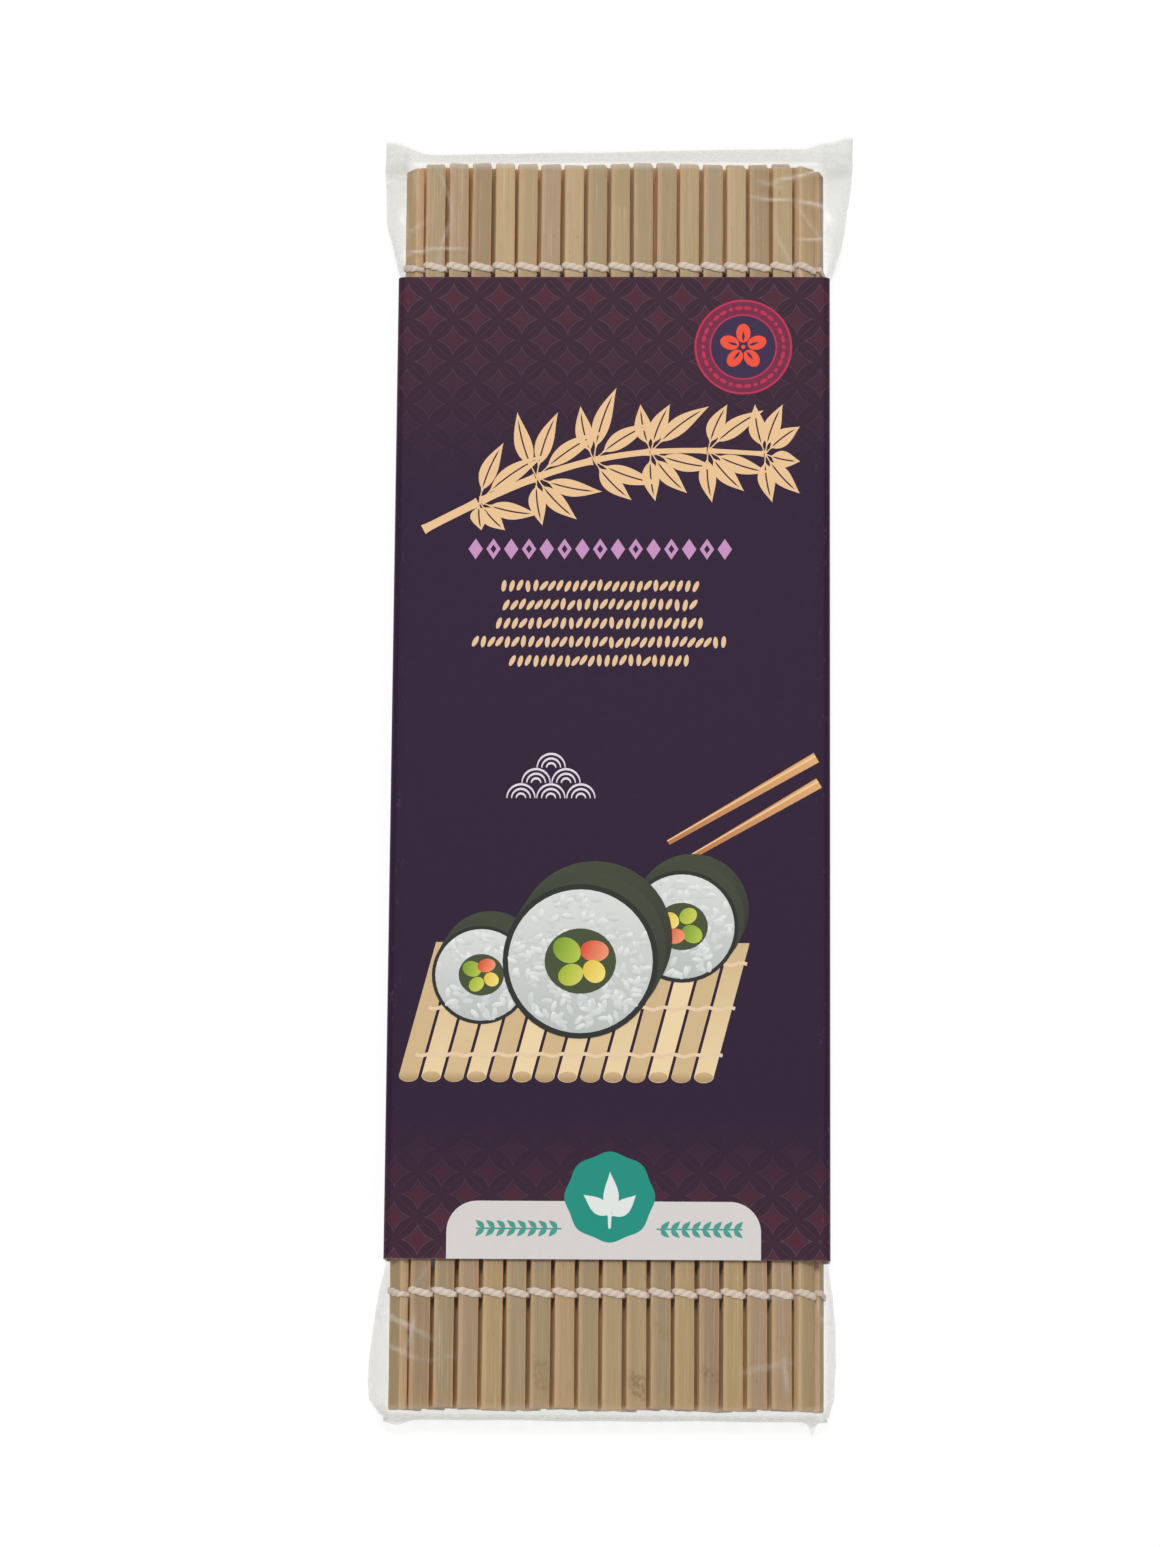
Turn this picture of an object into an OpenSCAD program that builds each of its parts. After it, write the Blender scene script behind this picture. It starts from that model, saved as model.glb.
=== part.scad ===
// Bamboo sushi rolling mat, folded in three like a letter, in a clear film bag with a card sleeve round it.
// It lies on its back: X runs across the slats, Y along them and Z up. The origin is under the middle.

/* [Slats] */
// Length of a slat
slat_len = 270; // [200:1:300]
// Width of a slat
slat_w = 4.15; // [3.6:0.05:4.6]
// Thickness of a slat
slat_t = 2.2; // [1.8:0.1:2.8]
// Radius on the long edges of a slat
slat_r = 0.4; // [0.2:0.05:0.6]
// Gap between two flat slats
slat_gap = 0.9; // [0.8:0.05:1.4]
// How unevenly the slats are cut to length
end_play = 0.5; // [0:0.1:1]

/* [Folding] */
// Flat slats on the front
front_count = 16; // [10:1:18]
// Slats of the flap that is folded in between
inner_count = 16; // [10:1:18]
// Slats of the flap on the back
back_count = 17; // [10:1:19]
// Tilt of the slat in the left fold
left_tilt = 50; // [45:1:56]
// Tilt of the first slat in the right fold
right_tilt_1 = 38; // [34:1:44]
// Tilt of the second slat in the right fold
right_tilt_2 = 74; // [66:1:78]
// Room between the strings of two layers
layer_gap = 0.3; // [0.2:0.05:0.8]

/* [Strings] */
// Rows of string
row_count = 5; // [3:1:6]
// Top row to the ends of the slats
top_inset = 23; // [15:0.5:30]
// Bottom row to the ends of the slats
bottom_inset = 24.5; // [15:0.5:30]
// Width of a flattened strand
strand_w = 1; // [0.7:0.05:1.2]
// Thickness of a flattened strand
strand_t = 0.4; // [0.3:0.02:0.5]
// Room between a strand and a slat
strand_clear = 0.04; // [0.02:0.01:0.1]
// Room between the two strands of a row where they cross
strand_apart = 0.1; // [0.06:0.02:0.3]
// Cut end of a strand past the last slat
tail = 1.3; // [1:0.1:2.5]

/* [Film bag] */
// Thickness of the film
film_t = 0.12; // [0.08:0.01:0.2]
// Room between the film and the mat
film_clear = 0.2; // [0.16:0.02:0.4]
// Film past each end of the slats
film_over = 4; // [3:0.5:12]
// How far each corner of the bag stands out past its side
ear = 4.6; // [2:0.1:8]
// Width of the bag's rounded sides
bag_side = 2; // [1.6:0.1:2.6]
// How square these sides are in the sleeve
bag_square = 5; // [4:0.5:6]
// Half the opening between the two lips of the mouth
lip = 0.25; // [0.15:0.05:0.6]
// Width of the weld that closes the bottom of the bag
weld = 1.2; // [0.6:0.1:2]

/* [Card sleeve] */
// Length of the sleeve
sleeve_len = 213; // [120:1:230]
// Bare slat ends above the sleeve
sleeve_from_top = 25.6; // [10:0.1:60]
// Thickness of the card
card_t = 0.4; // [0.25:0.05:0.6]
// Inside radius of the sleeve's folds
card_r = 1.2; // [0.8:0.1:1.6]
// Room between the card and the film
card_clear = 0.12; // [0.08:0.02:0.4]
// Glued overlap on the back
glue_w = 15; // [8:1:25]
// Middle of the glued overlap, across from the sleeve's centre
glue_off = 18; // [10:1:30]
// Open groove beside the cut edge of the overlap
seam_w = 0.3; // [0.2:0.05:0.6]

/* [Hidden] */
pitch = slat_w + slat_gap;
half_w = slat_w / 2;
half_t = slat_t / 2;
strand_off = (strand_w + strand_apart) / 2;
string_t = strand_clear + strand_t;
// Fold gap that one strand passes
fold_gap = strand_t + 3 * strand_clear;
layer_step = slat_t + 2 * string_t + layer_gap;
half_len = slat_len / 2;

// Heights, from the sleeve's back up
film_z0 = 2 * card_t + card_clear;
mat_z0 = film_z0 + film_t + film_clear;
back_z = mat_z0 + string_t + half_t;
inner_z = back_z + layer_step;
front_z = inner_z + layer_step;
mat_z1 = front_z + half_t + string_t;
film_z1 = mat_z1 + film_clear + film_t;
sleeve_h = film_z1 + card_clear + card_t;
mid_z = (film_z0 + film_z1) / 2;

// Reach of a tilted slat across and up from its middle, with its rounded edges
function reach_x(a) = (half_w - slat_r) * cos(a) + (half_t - slat_r) * sin(a) + slat_r;
function reach_z(a) = (half_w - slat_r) * sin(a) + (half_t - slat_r) * cos(a) + slat_r;
// Half the gap that leaves room for a strand between two slats that meet at an angle
function half_gap(a) =
    (slat_r + fold_gap / 2 + (half_t - slat_r) * sin(a / 2)) / cos(a / 2) - slat_r;
// Where the inner face of a tilted slat is, across from its middle, at a height above its middle
function inner_face(a, z) = half_t * sin(a) + (z + half_t * cos(a)) / tan(a);

front_w = front_count * pitch - slat_gap;
left_w = fold_gap + 2 * reach_x(left_tilt) + string_t;
link = half_w + half_gap(right_tilt_2 - right_tilt_1);
right_1_x = fold_gap + reach_x(right_tilt_1);
right_2_x = right_1_x + link * (cos(right_tilt_1) + cos(right_tilt_2));
right_w = right_2_x + reach_x(right_tilt_2) + string_t;
mat_half = (left_w + front_w + right_w) / 2;
front_x0 = -mat_half + left_w;
front_x1 = front_x0 + front_w;

left_x = front_x0 - fold_gap - reach_x(left_tilt);
left_z = front_z + half_t - reach_z(left_tilt);
right_1_z = front_z + half_t - reach_z(right_tilt_1);
right_2_z = right_1_z - link * (sin(right_tilt_1) + sin(right_tilt_2));
// The flaps start where two tucked strands pass between a slat's edge and the inner face of the fold's slat
tuck_gap = 2 * string_t + fold_gap;
inner_x0 = left_x + inner_face(left_tilt, inner_z + half_t - left_z) + tuck_gap / sin(left_tilt);
back_x1 = front_x1 + right_2_x - inner_face(right_tilt_2, back_z + half_t - right_2_z)
    - tuck_gap / sin(right_tilt_2);

// Slats in the order that the strings run: [x, z, direction of the run]
chain = [
    for (i = [inner_count - 1 : -1 : 0]) [inner_x0 + half_w + i * pitch, inner_z, 180],
    [left_x, left_z, left_tilt],
    for (i = [0 : front_count - 1]) [front_x0 + half_w + i * pitch, front_z, 0],
    [front_x1 + right_1_x, right_1_z, -right_tilt_1],
    [front_x1 + right_2_x, right_2_z, -right_tilt_2],
    for (i = [0 : back_count - 1]) [back_x1 - half_w - i * pitch, back_z, -180],
];
left_k = inner_count;
front_k = left_k + 1;
right_k = front_k + front_count;
back_k = right_k + 2;
slat_count = back_k + back_count;

top_row_y = half_len - top_inset;
row_step = (slat_len - top_inset - bottom_inset) / (row_count - 1);
sleeve_y1 = half_len - sleeve_from_top;
film_half_len = half_len + film_over;
film_in_x = mat_half + film_clear;
sleeve_half = film_in_x + film_t + card_clear + card_t;

function two(i) = i < 10 ? str("0", i) : str(i);
function names(stem, count) = [for (i = [1 : count]) str(stem, two(i))];

// Tones of the bamboo, picked by a slat's place in the mat
tones = [[0.77, 0.67, 0.54], [0.72, 0.64, 0.50], [0.67, 0.61, 0.49], [0.70, 0.60, 0.48], [0.78, 0.69, 0.55]];
function wave(k, turn) = sin(k * turn);
function tone(k) = tones[floor(2.5 + 2.49 * wave(k, 137))];

// Section of a slat: a flat strip with rounded long edges
module slat_section() {
    square([slat_w - 2 * slat_r, slat_t], center = true);
    square([slat_w, slat_t - 2 * slat_r], center = true);
    for (x = [-1, 1], y = [-1, 1])
        translate([x * (half_w - slat_r), y * (half_t - slat_r)]) circle(slat_r, $fn = 32);
}

module slat(k) {
    at = chain[k];
    top = half_len - end_play * (0.5 + 0.5 * wave(k, 49));
    bottom = half_len - end_play * (0.5 + 0.5 * wave(k, 83));
    color(tone(k))
        translate([at[0], top, at[1]])
            rotate([90, 0, 0])
                linear_extrude(top + bottom) rotate(at[2]) slat_section();
}

// The middle of the rounding on one edge of slat k: end -1 is where the run comes in, side 1 is outside in a fold.
// End 0 is as deep, half way across the face.
function edge(k, end, side) =
    let (at = chain[k], a = at[2], u = end * (half_w - slat_r), v = side * (half_t - slat_r))
    [at[0] + u * cos(a) - v * sin(a), at[1] + u * sin(a) + v * cos(a)];

// What a strand passes: [x, z, radius that it keeps on its right (or left, below 0), y, whether it may miss it].
// It rounds both edges of its face, and a side of the slat that turns across its way. In a tight fold it misses
// the edge that is tucked in, and meets the face in the middle.
wrap = slat_r + strand_clear + strand_t / 2;
function past_slat(k, side, row_y) = [
    if (side > 0) [each edge(k, -1, -1), wrap, row_y + strand_off, true],
    [each edge(k, k == left_k && side < 0 ? 0 : -1, side), side * wrap, row_y + side * strand_off, false],
    [each edge(k, k == right_k + 1 && side < 0 ? 0 : 1, side), side * wrap, row_y - side * strand_off, false],
    if (side > 0) [each edge(k, 1, -1), wrap, row_y - strand_off, true],
];

// Direction of the taut stretch between two stops
function heading(p, q) =
    let (dx = q[0] - p[0], dz = q[1] - p[1])
    atan2(dz, dx) - asin((p[2] - q[2]) / norm([dx, dz]));
function turned(a) = a - 360 * floor((a + 180) / 360);
function turn_at(s, i) = sign(s[i][2]) * turned(heading(s[i - 1], s[i]) - heading(s[i], s[i + 1]));

// All that one strand passes, from one cut end to the other, as it changes sides in every gap
function stops(first, row_y) =
    let (
        last = slat_count - 1,
        last_side = first * (last % 2 == 0 ? 1 : -1),
        s = concat(
            [[chain[0][0] + half_w + tail, chain[0][1], 0, row_y + first * strand_off, false]],
            [for (k = [0 : last]) each past_slat(k, first * (k % 2 == 0 ? 1 : -1), row_y)],
            [[chain[last][0] - half_w - tail, chain[last][1], 0, row_y - last_side * strand_off, false]]
        )
    )
    [for (i = [0 : len(s) - 1]) if (!s[i][4] || turn_at(s, i) > 0) s[i]];

// Points where a strand bends round stop p, between the directions in which it comes and goes
most_bend = 80;
function bends(p, come, go) =
    let (
        sense = sign(p[2]),
        turn = sense * turned(come - go),
        parts = max(1, ceil(turn / most_bend)),
        reach = p[2] / cos(turn / parts / 2)
    )
    [for (j = [0 : parts - 1])
        let (a = come - sense * turn * (j + 0.5) / parts)
        [p[0] - reach * sin(a), p[3], p[1] + reach * cos(a)]];

// The whole way of one strand
function strand_way(first, row_y) =
    let (s = stops(first, row_y), last = len(s) - 1)
    concat(
        [[s[0][0], s[0][3], s[0][1]]],
        [for (i = [1 : last - 1]) each bends(s[i], heading(s[i - 1], s[i]), heading(s[i], s[i + 1]))],
        [[s[last][0], s[last][3], s[last][1]]]
    );

function backwards(list) = [for (i = [len(list) - 1 : -1 : 0]) list[i]];
function unit(v) = v / norm(v);
function flat(v) = [v[0], 0, v[2]];
// A flattened hexagon square to the way at point i
function strand_ring(way, i) =
    let (
        before = unit(flat(i == 0 ? way[1] - way[0] : way[i] - way[i - 1])),
        after = unit(flat(i == len(way) - 1 ? way[i] - way[i - 1] : way[i + 1] - way[i])),
        along = unit(before + after),
        out = [-along[2], 0, along[0]],
        stretch = min(1.4, 1 / (along * before))
    )
    [for (a = [0 : 60 : 300])
        way[i] + [0, cos(a) * strand_w / 2, 0] + out * sin(a) / sin(60) * stretch * strand_t / 2];

// One closed tube through rings of equal size
module tube(rings) {
    n = len(rings[0]);
    last = (len(rings) - 1) * n;
    polyhedron(
        [for (r = rings) each r],
        concat(
            [[for (j = [n - 1 : -1 : 0]) j]],
            [for (i = [0 : len(rings) - 2], j = [0 : n - 1])
                let (a = i * n + j, b = i * n + (j + 1) % n)
                each [[a, b, b + n], [a, b + n, a + n]]],
            [[for (j = [0 : n - 1]) last + j]]
        )
    );
}

module string_row(i) {
    row_y = top_row_y - i * row_step;
    color([0.87, 0.82, 0.77])
        for (first = [-1, 1]) {
            way = strand_way(first, row_y);
            tube([for (k = [0 : len(way) - 1]) strand_ring(way, k)]);
        }
}

// Section of the bag: flat faces, and sides whose shape goes from square to a sharp ridge
side_steps = 10;
function bag_ring(y, flat_x, side_x, h, power) = [
    for (s = [1, -1], i = [0 : side_steps])
        let (a = 90 - 180 * i / side_steps, c = pow(abs(cos(a)), 2 / power), v = pow(abs(sin(a)), 2 / power))
        [s * (flat_x + (side_x - flat_x) * c), y, mid_z + s * sign(a) * h * v]
];

// Places along the bag from its middle to an end: [share of the way, share of the ear, share of the height, power]
bag_half_h = (film_z1 - film_z0) / 2;
sleeve_share = (half_len - sleeve_from_top) / film_half_len;
slat_share = (half_len + film_clear) / film_half_len;
bag_places = [
    [sleeve_share + 0.01, 0, 1, bag_square],
    [(sleeve_share + slat_share) / 2, 0.3, 1, 3],
    [slat_share, 0.75, 1, 2],
    [(slat_share + 1) / 2, 0.92, 0.5, 1.6],
    [1, 1, 0, 1.5],
];
// The bag's rings up to a cut, where inset makes the inside surface
function bag_half(end, inset, cut) = [
    for (p = bag_places)
        let (
            out = p[1] * ear,
            flat_x = film_in_x - bag_side,
            h = max(p[2] * bag_half_h, lip + film_t) - inset,
            y = end * min(p[0] * film_half_len, film_half_len - cut)
        )
        bag_ring(y, flat_x - inset, film_in_x + film_t + out - inset, h, p[3])
];
function bag_rings(inset, cut) = concat(backwards(bag_half(-1, inset, cut)), bag_half(1, inset, 0));

module film_bag() {
    outer = bag_rings(0, 0);
    inner = bag_rings(film_t, weld);
    n = len(outer[0]);
    m = len(outer);
    skin = m * n;
    last = (m - 1) * n;
    color([0.89, 0.9, 0.87, 0.4])
        polyhedron(
            [for (r = concat(outer, inner)) each r],
            concat(
                [[for (j = [0 : n - 1]) j]],
                [for (i = [0 : m - 2], j = [0 : n - 1])
                    [i * n + j, (i + 1) * n + j, (i + 1) * n + (j + 1) % n, i * n + (j + 1) % n]],
                [for (j = [0 : n - 1])
                    [last + j, skin + last + j, skin + last + (j + 1) % n, last + (j + 1) % n]],
                [for (i = [0 : m - 2], j = [0 : n - 1])
                    [skin + i * n + j, skin + i * n + (j + 1) % n,
                     skin + (i + 1) * n + (j + 1) % n, skin + (i + 1) * n + j]],
                [[for (j = [n - 1 : -1 : 0]) skin + j]]
            )
        );
}

// A rectangle with round corners, standing on the line y = 0
module rounded(w, h, r) {
    translate([-w / 2 + r, 0]) square([w - 2 * r, h]);
    translate([-w / 2, r]) square([w, h - 2 * r]);
    for (x = [-1, 1], y = [r, h - r])
        translate([x * (w / 2 - r), y]) circle(r, $fn = 48);
}

module card_sleeve() {
    color([0.27, 0.18, 0.27])
        translate([0, sleeve_y1, 0])
            rotate([90, 0, 0])
                linear_extrude(sleeve_len)
                    difference() {
                        union() {
                            difference() {
                                rounded(2 * sleeve_half, sleeve_h, card_r + card_t);
                                translate([0, card_t])
                                    rounded(2 * (sleeve_half - card_t), sleeve_h - 2 * card_t, card_r);
                            }
                            translate([glue_off - glue_w / 2, card_t / 2])
                                square([glue_w, 1.5 * card_t]);
                        }
                        translate([glue_off, 0])
                            translate([-seam_w / 2, -card_t]) square([seam_w, 2 * card_t]);
                    }
}

for (i = [1 : front_count])
    slat(front_k + i - 1);
slat(left_k);  // left_fold_slat
slat(right_k);  // right_fold_slat_1
slat(right_k + 1);  // right_fold_slat_2
for (i = [1 : inner_count])
    slat(inner_count - i);
for (i = [1 : back_count])
    slat(back_k + i - 1);
for (i = [1 : row_count])
    string_row(i - 1);
film_bag();
card_sleeve();
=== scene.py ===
"""Looks of a bamboo sushi rolling mat in a film bag, with a card sleeve round it.

The mat is folded in three like a letter. Lengths are in mm until a mesh is made. X runs across the slats, Y
along them and Z up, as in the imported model.
"""

import math
import random

import bmesh
import bpy
import numpy as np
from mathutils import Matrix, Vector
from mathutils.geometry import tessellate_polygon


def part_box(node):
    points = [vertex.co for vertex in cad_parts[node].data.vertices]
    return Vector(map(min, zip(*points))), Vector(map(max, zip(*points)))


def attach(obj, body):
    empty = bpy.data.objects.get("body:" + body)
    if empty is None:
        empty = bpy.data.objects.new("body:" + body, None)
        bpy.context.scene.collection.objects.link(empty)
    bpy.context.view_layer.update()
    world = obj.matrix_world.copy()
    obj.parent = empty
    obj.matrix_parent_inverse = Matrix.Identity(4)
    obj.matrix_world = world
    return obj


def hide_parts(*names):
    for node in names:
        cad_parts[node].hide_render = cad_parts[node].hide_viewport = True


MM = 0.001
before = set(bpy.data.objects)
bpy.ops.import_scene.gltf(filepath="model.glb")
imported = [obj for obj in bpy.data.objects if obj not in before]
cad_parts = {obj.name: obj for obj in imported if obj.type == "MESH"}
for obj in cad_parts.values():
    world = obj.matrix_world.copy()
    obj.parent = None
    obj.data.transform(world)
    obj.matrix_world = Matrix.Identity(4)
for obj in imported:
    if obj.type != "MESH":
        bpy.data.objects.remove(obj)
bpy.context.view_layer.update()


def node_box(name):
    """A CAD node's lowest and highest corners in mm."""
    low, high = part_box(name)
    return np.array(low) / MM, np.array(high) / MM


# Camera, at the photograph's distance and tilt
PHOTO_HEIGHT = 1547
FOCAL_PIXELS = 4512
TILT, ROLL, YAW = math.radians(9.6), math.radians(0.43), math.radians(1.5)
DISTANCE, AIM_HEIGHT = 0.9694, 0.006
RIGHT_PIXELS, DOWN_PIXELS = 30.8, 3.8


def add_camera():
    data = bpy.data.cameras.new("camera")
    data.lens = data.sensor_width * FOCAL_PIXELS / PHOTO_HEIGHT
    data.shift_x = -RIGHT_PIXELS / PHOTO_HEIGHT
    data.shift_y = DOWN_PIXELS / PHOTO_HEIGHT
    camera = bpy.data.objects.new("camera", data)
    turn = Matrix.Rotation(YAW, 4, "Y") @ Matrix.Rotation(TILT, 4, "X") @ Matrix.Rotation(ROLL, 4, "Z")
    place = Vector((0, 0, AIM_HEIGHT)) + turn @ Vector((0, 0, DISTANCE))
    camera.matrix_world = Matrix.Translation(place) @ turn
    bpy.context.scene.collection.objects.link(camera)
    bpy.context.scene.camera = camera


def colour(red, green, blue):
    """A colour as painters name it, 0 to 255, for a shader."""
    def linear(c):
        c /= 255
        return c / 12.92 if c <= 0.04045 else ((c + 0.055) / 1.055) ** 2.4
    return (linear(red), linear(green), linear(blue), 1.0)


class Value:
    """A number or colour that shader nodes work out. It takes part in plain arithmetic."""

    def __init__(self, graph, socket):
        self.graph, self.socket = graph, socket


def allow(sign, operation):
    """Lets values be written with an arithmetic sign, on either side of it."""
    setattr(Value, f"__{sign}__", lambda value, other: value.graph.math(operation, value, other))
    setattr(Value, f"__r{sign}__", lambda value, other: value.graph.math(operation, other, value))


for sign, operation in (("add", "ADD"), ("sub", "SUBTRACT"), ("mul", "MULTIPLY"), ("truediv", "DIVIDE")):
    allow(sign, operation)


class Graph:
    """The nodes of a material or of the world."""

    def __init__(self, owner):
        owner.use_nodes = True
        self.owner, self.tree = owner, owner.node_tree
        self.shader = self.tree.nodes.get("Principled BSDF")

    def node(self, kind, **settings):
        node = self.tree.nodes.new("ShaderNode" + kind)
        for key, value in settings.items():
            setattr(node, key, value)
        return node

    def put(self, value, socket):
        if isinstance(value, Value):
            self.tree.links.new(value.socket, socket)
        else:
            socket.default_value = value

    def math(self, operation, *values):
        node = self.node("Math", operation=operation)
        for value, socket in zip(values, node.inputs):
            self.put(value, socket)
        return Value(self, node.outputs[0])

    def least(self, a, b):
        return self.math("MINIMUM", a, b)

    def most(self, a, b):
        return self.math("MAXIMUM", a, b)

    def step(self, value, low, high):
        """0 below low, 1 above high and smooth between. It falls where low is above high."""
        node = self.node("MapRange", interpolation_type="SMOOTHSTEP")
        falls = low > high
        for socket, number in zip(node.inputs, (value, min(low, high), max(low, high), falls, not falls)):
            self.put(number if isinstance(number, Value) else float(number), socket)
        return Value(self, node.outputs[0])

    def line(self, value, outer, inner):
        """1 where a value is within inner of 0, and 0 beyond outer."""
        return self.step(self.math("ABSOLUTE", value), outer, inner)

    def place(self):
        """The place on the object in mm."""
        split = self.node("SeparateXYZ")
        self.tree.links.new(self.node("TexCoord").outputs["Object"], split.inputs[0])
        return [Value(self, socket) / MM for socket in split.outputs]

    def noise(self, x, y, z, detail=2.0, roughness=0.5):
        place = self.node("CombineXYZ")
        for value, socket in zip((x, y, z), place.inputs):
            self.put(value, socket)
        node = self.node("TexNoise")
        self.tree.links.new(place.outputs[0], node.inputs["Vector"])
        for key, value in (("Scale", 1.0), ("Detail", detail), ("Roughness", roughness)):
            node.inputs[key].default_value = value
        return Value(self, node.outputs[0])

    def grain(self, fineness, detail, roughness):
        """Noise that is alike in all directions."""
        return self.noise(*(way * fineness for way in self.place()), detail, roughness)

    def attribute(self, name, tinted=False):
        node = self.node("Attribute", attribute_name=name)
        return Value(self, node.outputs["Color" if tinted else "Fac"])

    def ray(self, kind):
        """1 for a kind of ray and 0 for all others."""
        return Value(self, self.node("LightPath").outputs[f"Is {kind} Ray"])

    def mirrored(self):
        """1 for rays that a gloss or a clear material sends on."""
        return self.least(self.ray("Glossy") + self.ray("Transmission"), 1.0)

    def mix(self, share, a, b, kind="MIX"):
        node = self.node("Mix", data_type="RGBA", blend_type=kind)
        for value, socket in ((share, "Factor"), (a, 6), (b, 7)):
            self.put(value, node.inputs[socket])
        return Value(self, node.outputs[2])

    def over(self, tint, *layers):
        """A colour with others laid over it, each with its share."""
        for share, ink in layers:
            tint = self.mix(share, tint, colour(*ink))
        return tint

    def scaled(self, tint, share):
        """A colour made darker or lighter by a number."""
        grey = self.node("CombineColor")
        for socket in grey.inputs:
            self.put(share, socket)
        return self.mix(1.0, tint, Value(self, grey.outputs[0]), "MULTIPLY")

    def bump(self, height, depth):
        """Bumps the shader by a height from 0 to 1 that stands for depth mm."""
        node = self.node("Bump")
        for key, value in (("Strength", 1.0), ("Distance", depth * MM), ("Height", height)):
            self.put(value, node.inputs[key])
        self.tree.links.new(node.outputs["Normal"], self.shader.inputs["Normal"])

    def finish(self, **sockets):
        """Sets the shader's own sockets, by name with _ for a space."""
        for name, value in sockets.items():
            self.put(value, self.shader.inputs[name.replace("_", " ")])
        return self.owner


def new_material(name):
    return Graph(bpy.data.materials.new(name))


def grid_faces(rows, columns):
    """Quads between rows of points that are closed rings."""
    i, j = np.meshgrid(np.arange(rows - 1), np.arange(columns), indexing="ij")
    here, beside = i * columns + j, i * columns + (j + 1) % columns
    return np.stack([here, beside, beside + columns, here + columns], -1).reshape(-1, 4)


def new_piece(name, points, faces, materials, body, replaced=(), attributes=None, sharp=35, kinds=None):
    """A mesh piece from points in mm, which rides on a body.

    Attributes are arrays with one number or colour a point. Kinds are each face's place in the materials."""
    mesh = bpy.data.meshes.new(name)
    mesh.from_pydata((np.asarray(points, float) * MM).tolist(), [], [list(map(int, f)) for f in faces])
    for material in materials:
        mesh.materials.append(material)
    if kinds is not None:
        mesh.polygons.foreach_set("material_index", np.asarray(kinds, np.int32))
    for key, values in (attributes or {}).items():
        values = np.asarray(values, np.float32)
        kind, field = ("FLOAT", "value") if values.ndim == 1 else ("FLOAT_COLOR", "color")
        mesh.attributes.new(key, kind, "POINT").data.foreach_set(field, values.ravel())
    mesh.shade_smooth()
    mesh.set_sharp_from_angle(angle=math.radians(sharp))
    mesh.validate()
    piece = bpy.data.objects.new(name, mesh)
    bpy.context.scene.collection.objects.link(piece)
    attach(piece, body)
    if replaced:
        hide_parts(*replaced)
    return piece


def wave(places, seed, *lengths):
    """A smooth line along places, about -1 to 1, made of waves of these lengths with seeded phases."""
    draw = random.Random(seed)
    places = np.asarray(places, float)
    return sum(np.sin(places * math.tau / (n * draw.uniform(0.8, 1.25)) + draw.uniform(0, math.tau))
               for n in lengths) / len(lengths)


def smooth_step(values, low, high):
    share = np.clip((np.asarray(values, float) - low) / (high - low), 0, 1)
    return share * share * (3 - 2 * share)


def hump(values, middle, width):
    return np.exp(-((np.asarray(values) - middle) / width) ** 2)


# Floor: how far it reaches and lies below the mat in m, the share of its own colour that the camera doesn't
# see, and how much it glows to the camera and in mirrors
FLOOR_REACH, FLOOR_DROP = 4.0, 0.00005
FLOOR_DIMMED, FLOOR_GLOW, MIRRORED_GLOW = 0.7, 0.8, 0.62
# How bright the room is, and the lamps: strength, softness, tilt from overhead, and where round from +X
AMBIENT = 0.5
LAMPS = [("window", 1.4, 12, 18, 93), ("fill", 0.3, 60, 25, 40)]


def floor_material():
    g = new_material("paper_floor")
    seen = g.ray("Camera")
    x, y, _ = g.place()
    paper = g.mix(g.noise(x * 0.01, y * 0.01, 0.0), colour(228, 228, 227), colour(233, 233, 232))
    g.finish(Base_Color=g.scaled(paper, 1.0 - seen * FLOOR_DIMMED), Roughness=0.9, Specular_IOR_Level=0.1)
    glow, both = g.node("Emission"), g.node("AddShader")
    g.put(seen * FLOOR_GLOW + g.mirrored() * MIRRORED_GLOW, glow.inputs["Strength"])
    for shader, socket in zip((g.shader, glow), both.inputs):
        g.tree.links.new(shader.outputs[0], socket)
    g.tree.links.new(both.outputs[0], g.tree.nodes["Material Output"].inputs[0])
    return g.owner


def add_stage():
    mesh = bpy.data.meshes.new("floor")
    corners = [(x * FLOOR_REACH, y * FLOOR_REACH, 0) for x, y in ((-1, -1), (1, -1), (1, 1), (-1, 1))]
    mesh.from_pydata(corners, [], [(0, 1, 2, 3)])
    mesh.materials.append(floor_material())
    floor = bpy.data.objects.new("floor", mesh)
    floor.location.z = -FLOOR_DROP
    bpy.context.scene.collection.objects.link(floor)

    # The room is white where it is seen, and lights the mat less than that
    world = bpy.data.worlds.new("studio")
    bpy.context.scene.world = world
    g = Graph(world)
    seen = g.least(g.ray("Camera") + g.mirrored(), 1.0)
    back = g.tree.nodes["Background"]
    back.inputs["Color"].default_value = (1, 1, 1, 1)
    g.put(seen * (1 - AMBIENT) + AMBIENT, back.inputs["Strength"])

    for name, strength, spread, tilt, azimuth in LAMPS:
        data = bpy.data.lights.new(name, "SUN")
        data.energy, data.angle = strength, math.radians(spread)
        lamp = bpy.data.objects.new(name, data)
        lamp.rotation_euler = (0, math.radians(tilt), math.radians(azimuth))
        bpy.context.scene.collection.objects.link(lamp)


add_camera()
add_stage()
bpy.context.scene.view_settings.view_transform = "Standard"


# Bamboo
SLAT_W, SLAT_T, SLAT_R = 4.15, 2.2, 0.4
HALF_W, HALF_T = SLAT_W / 2, SLAT_T / 2
TILTS = {"left_fold_slat": 50, "right_fold_slat_1": -38, "right_fold_slat_2": -74}


def flat_slats(stem):
    return sorted(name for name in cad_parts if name.startswith(stem))


def slat_place(name, run):
    low, high = node_box(name)
    x, _, z = (low + high) / 2
    return {"name": name, "x": x, "z": z, "run": math.radians(run), "low": low[1], "high": high[1]}


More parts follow.
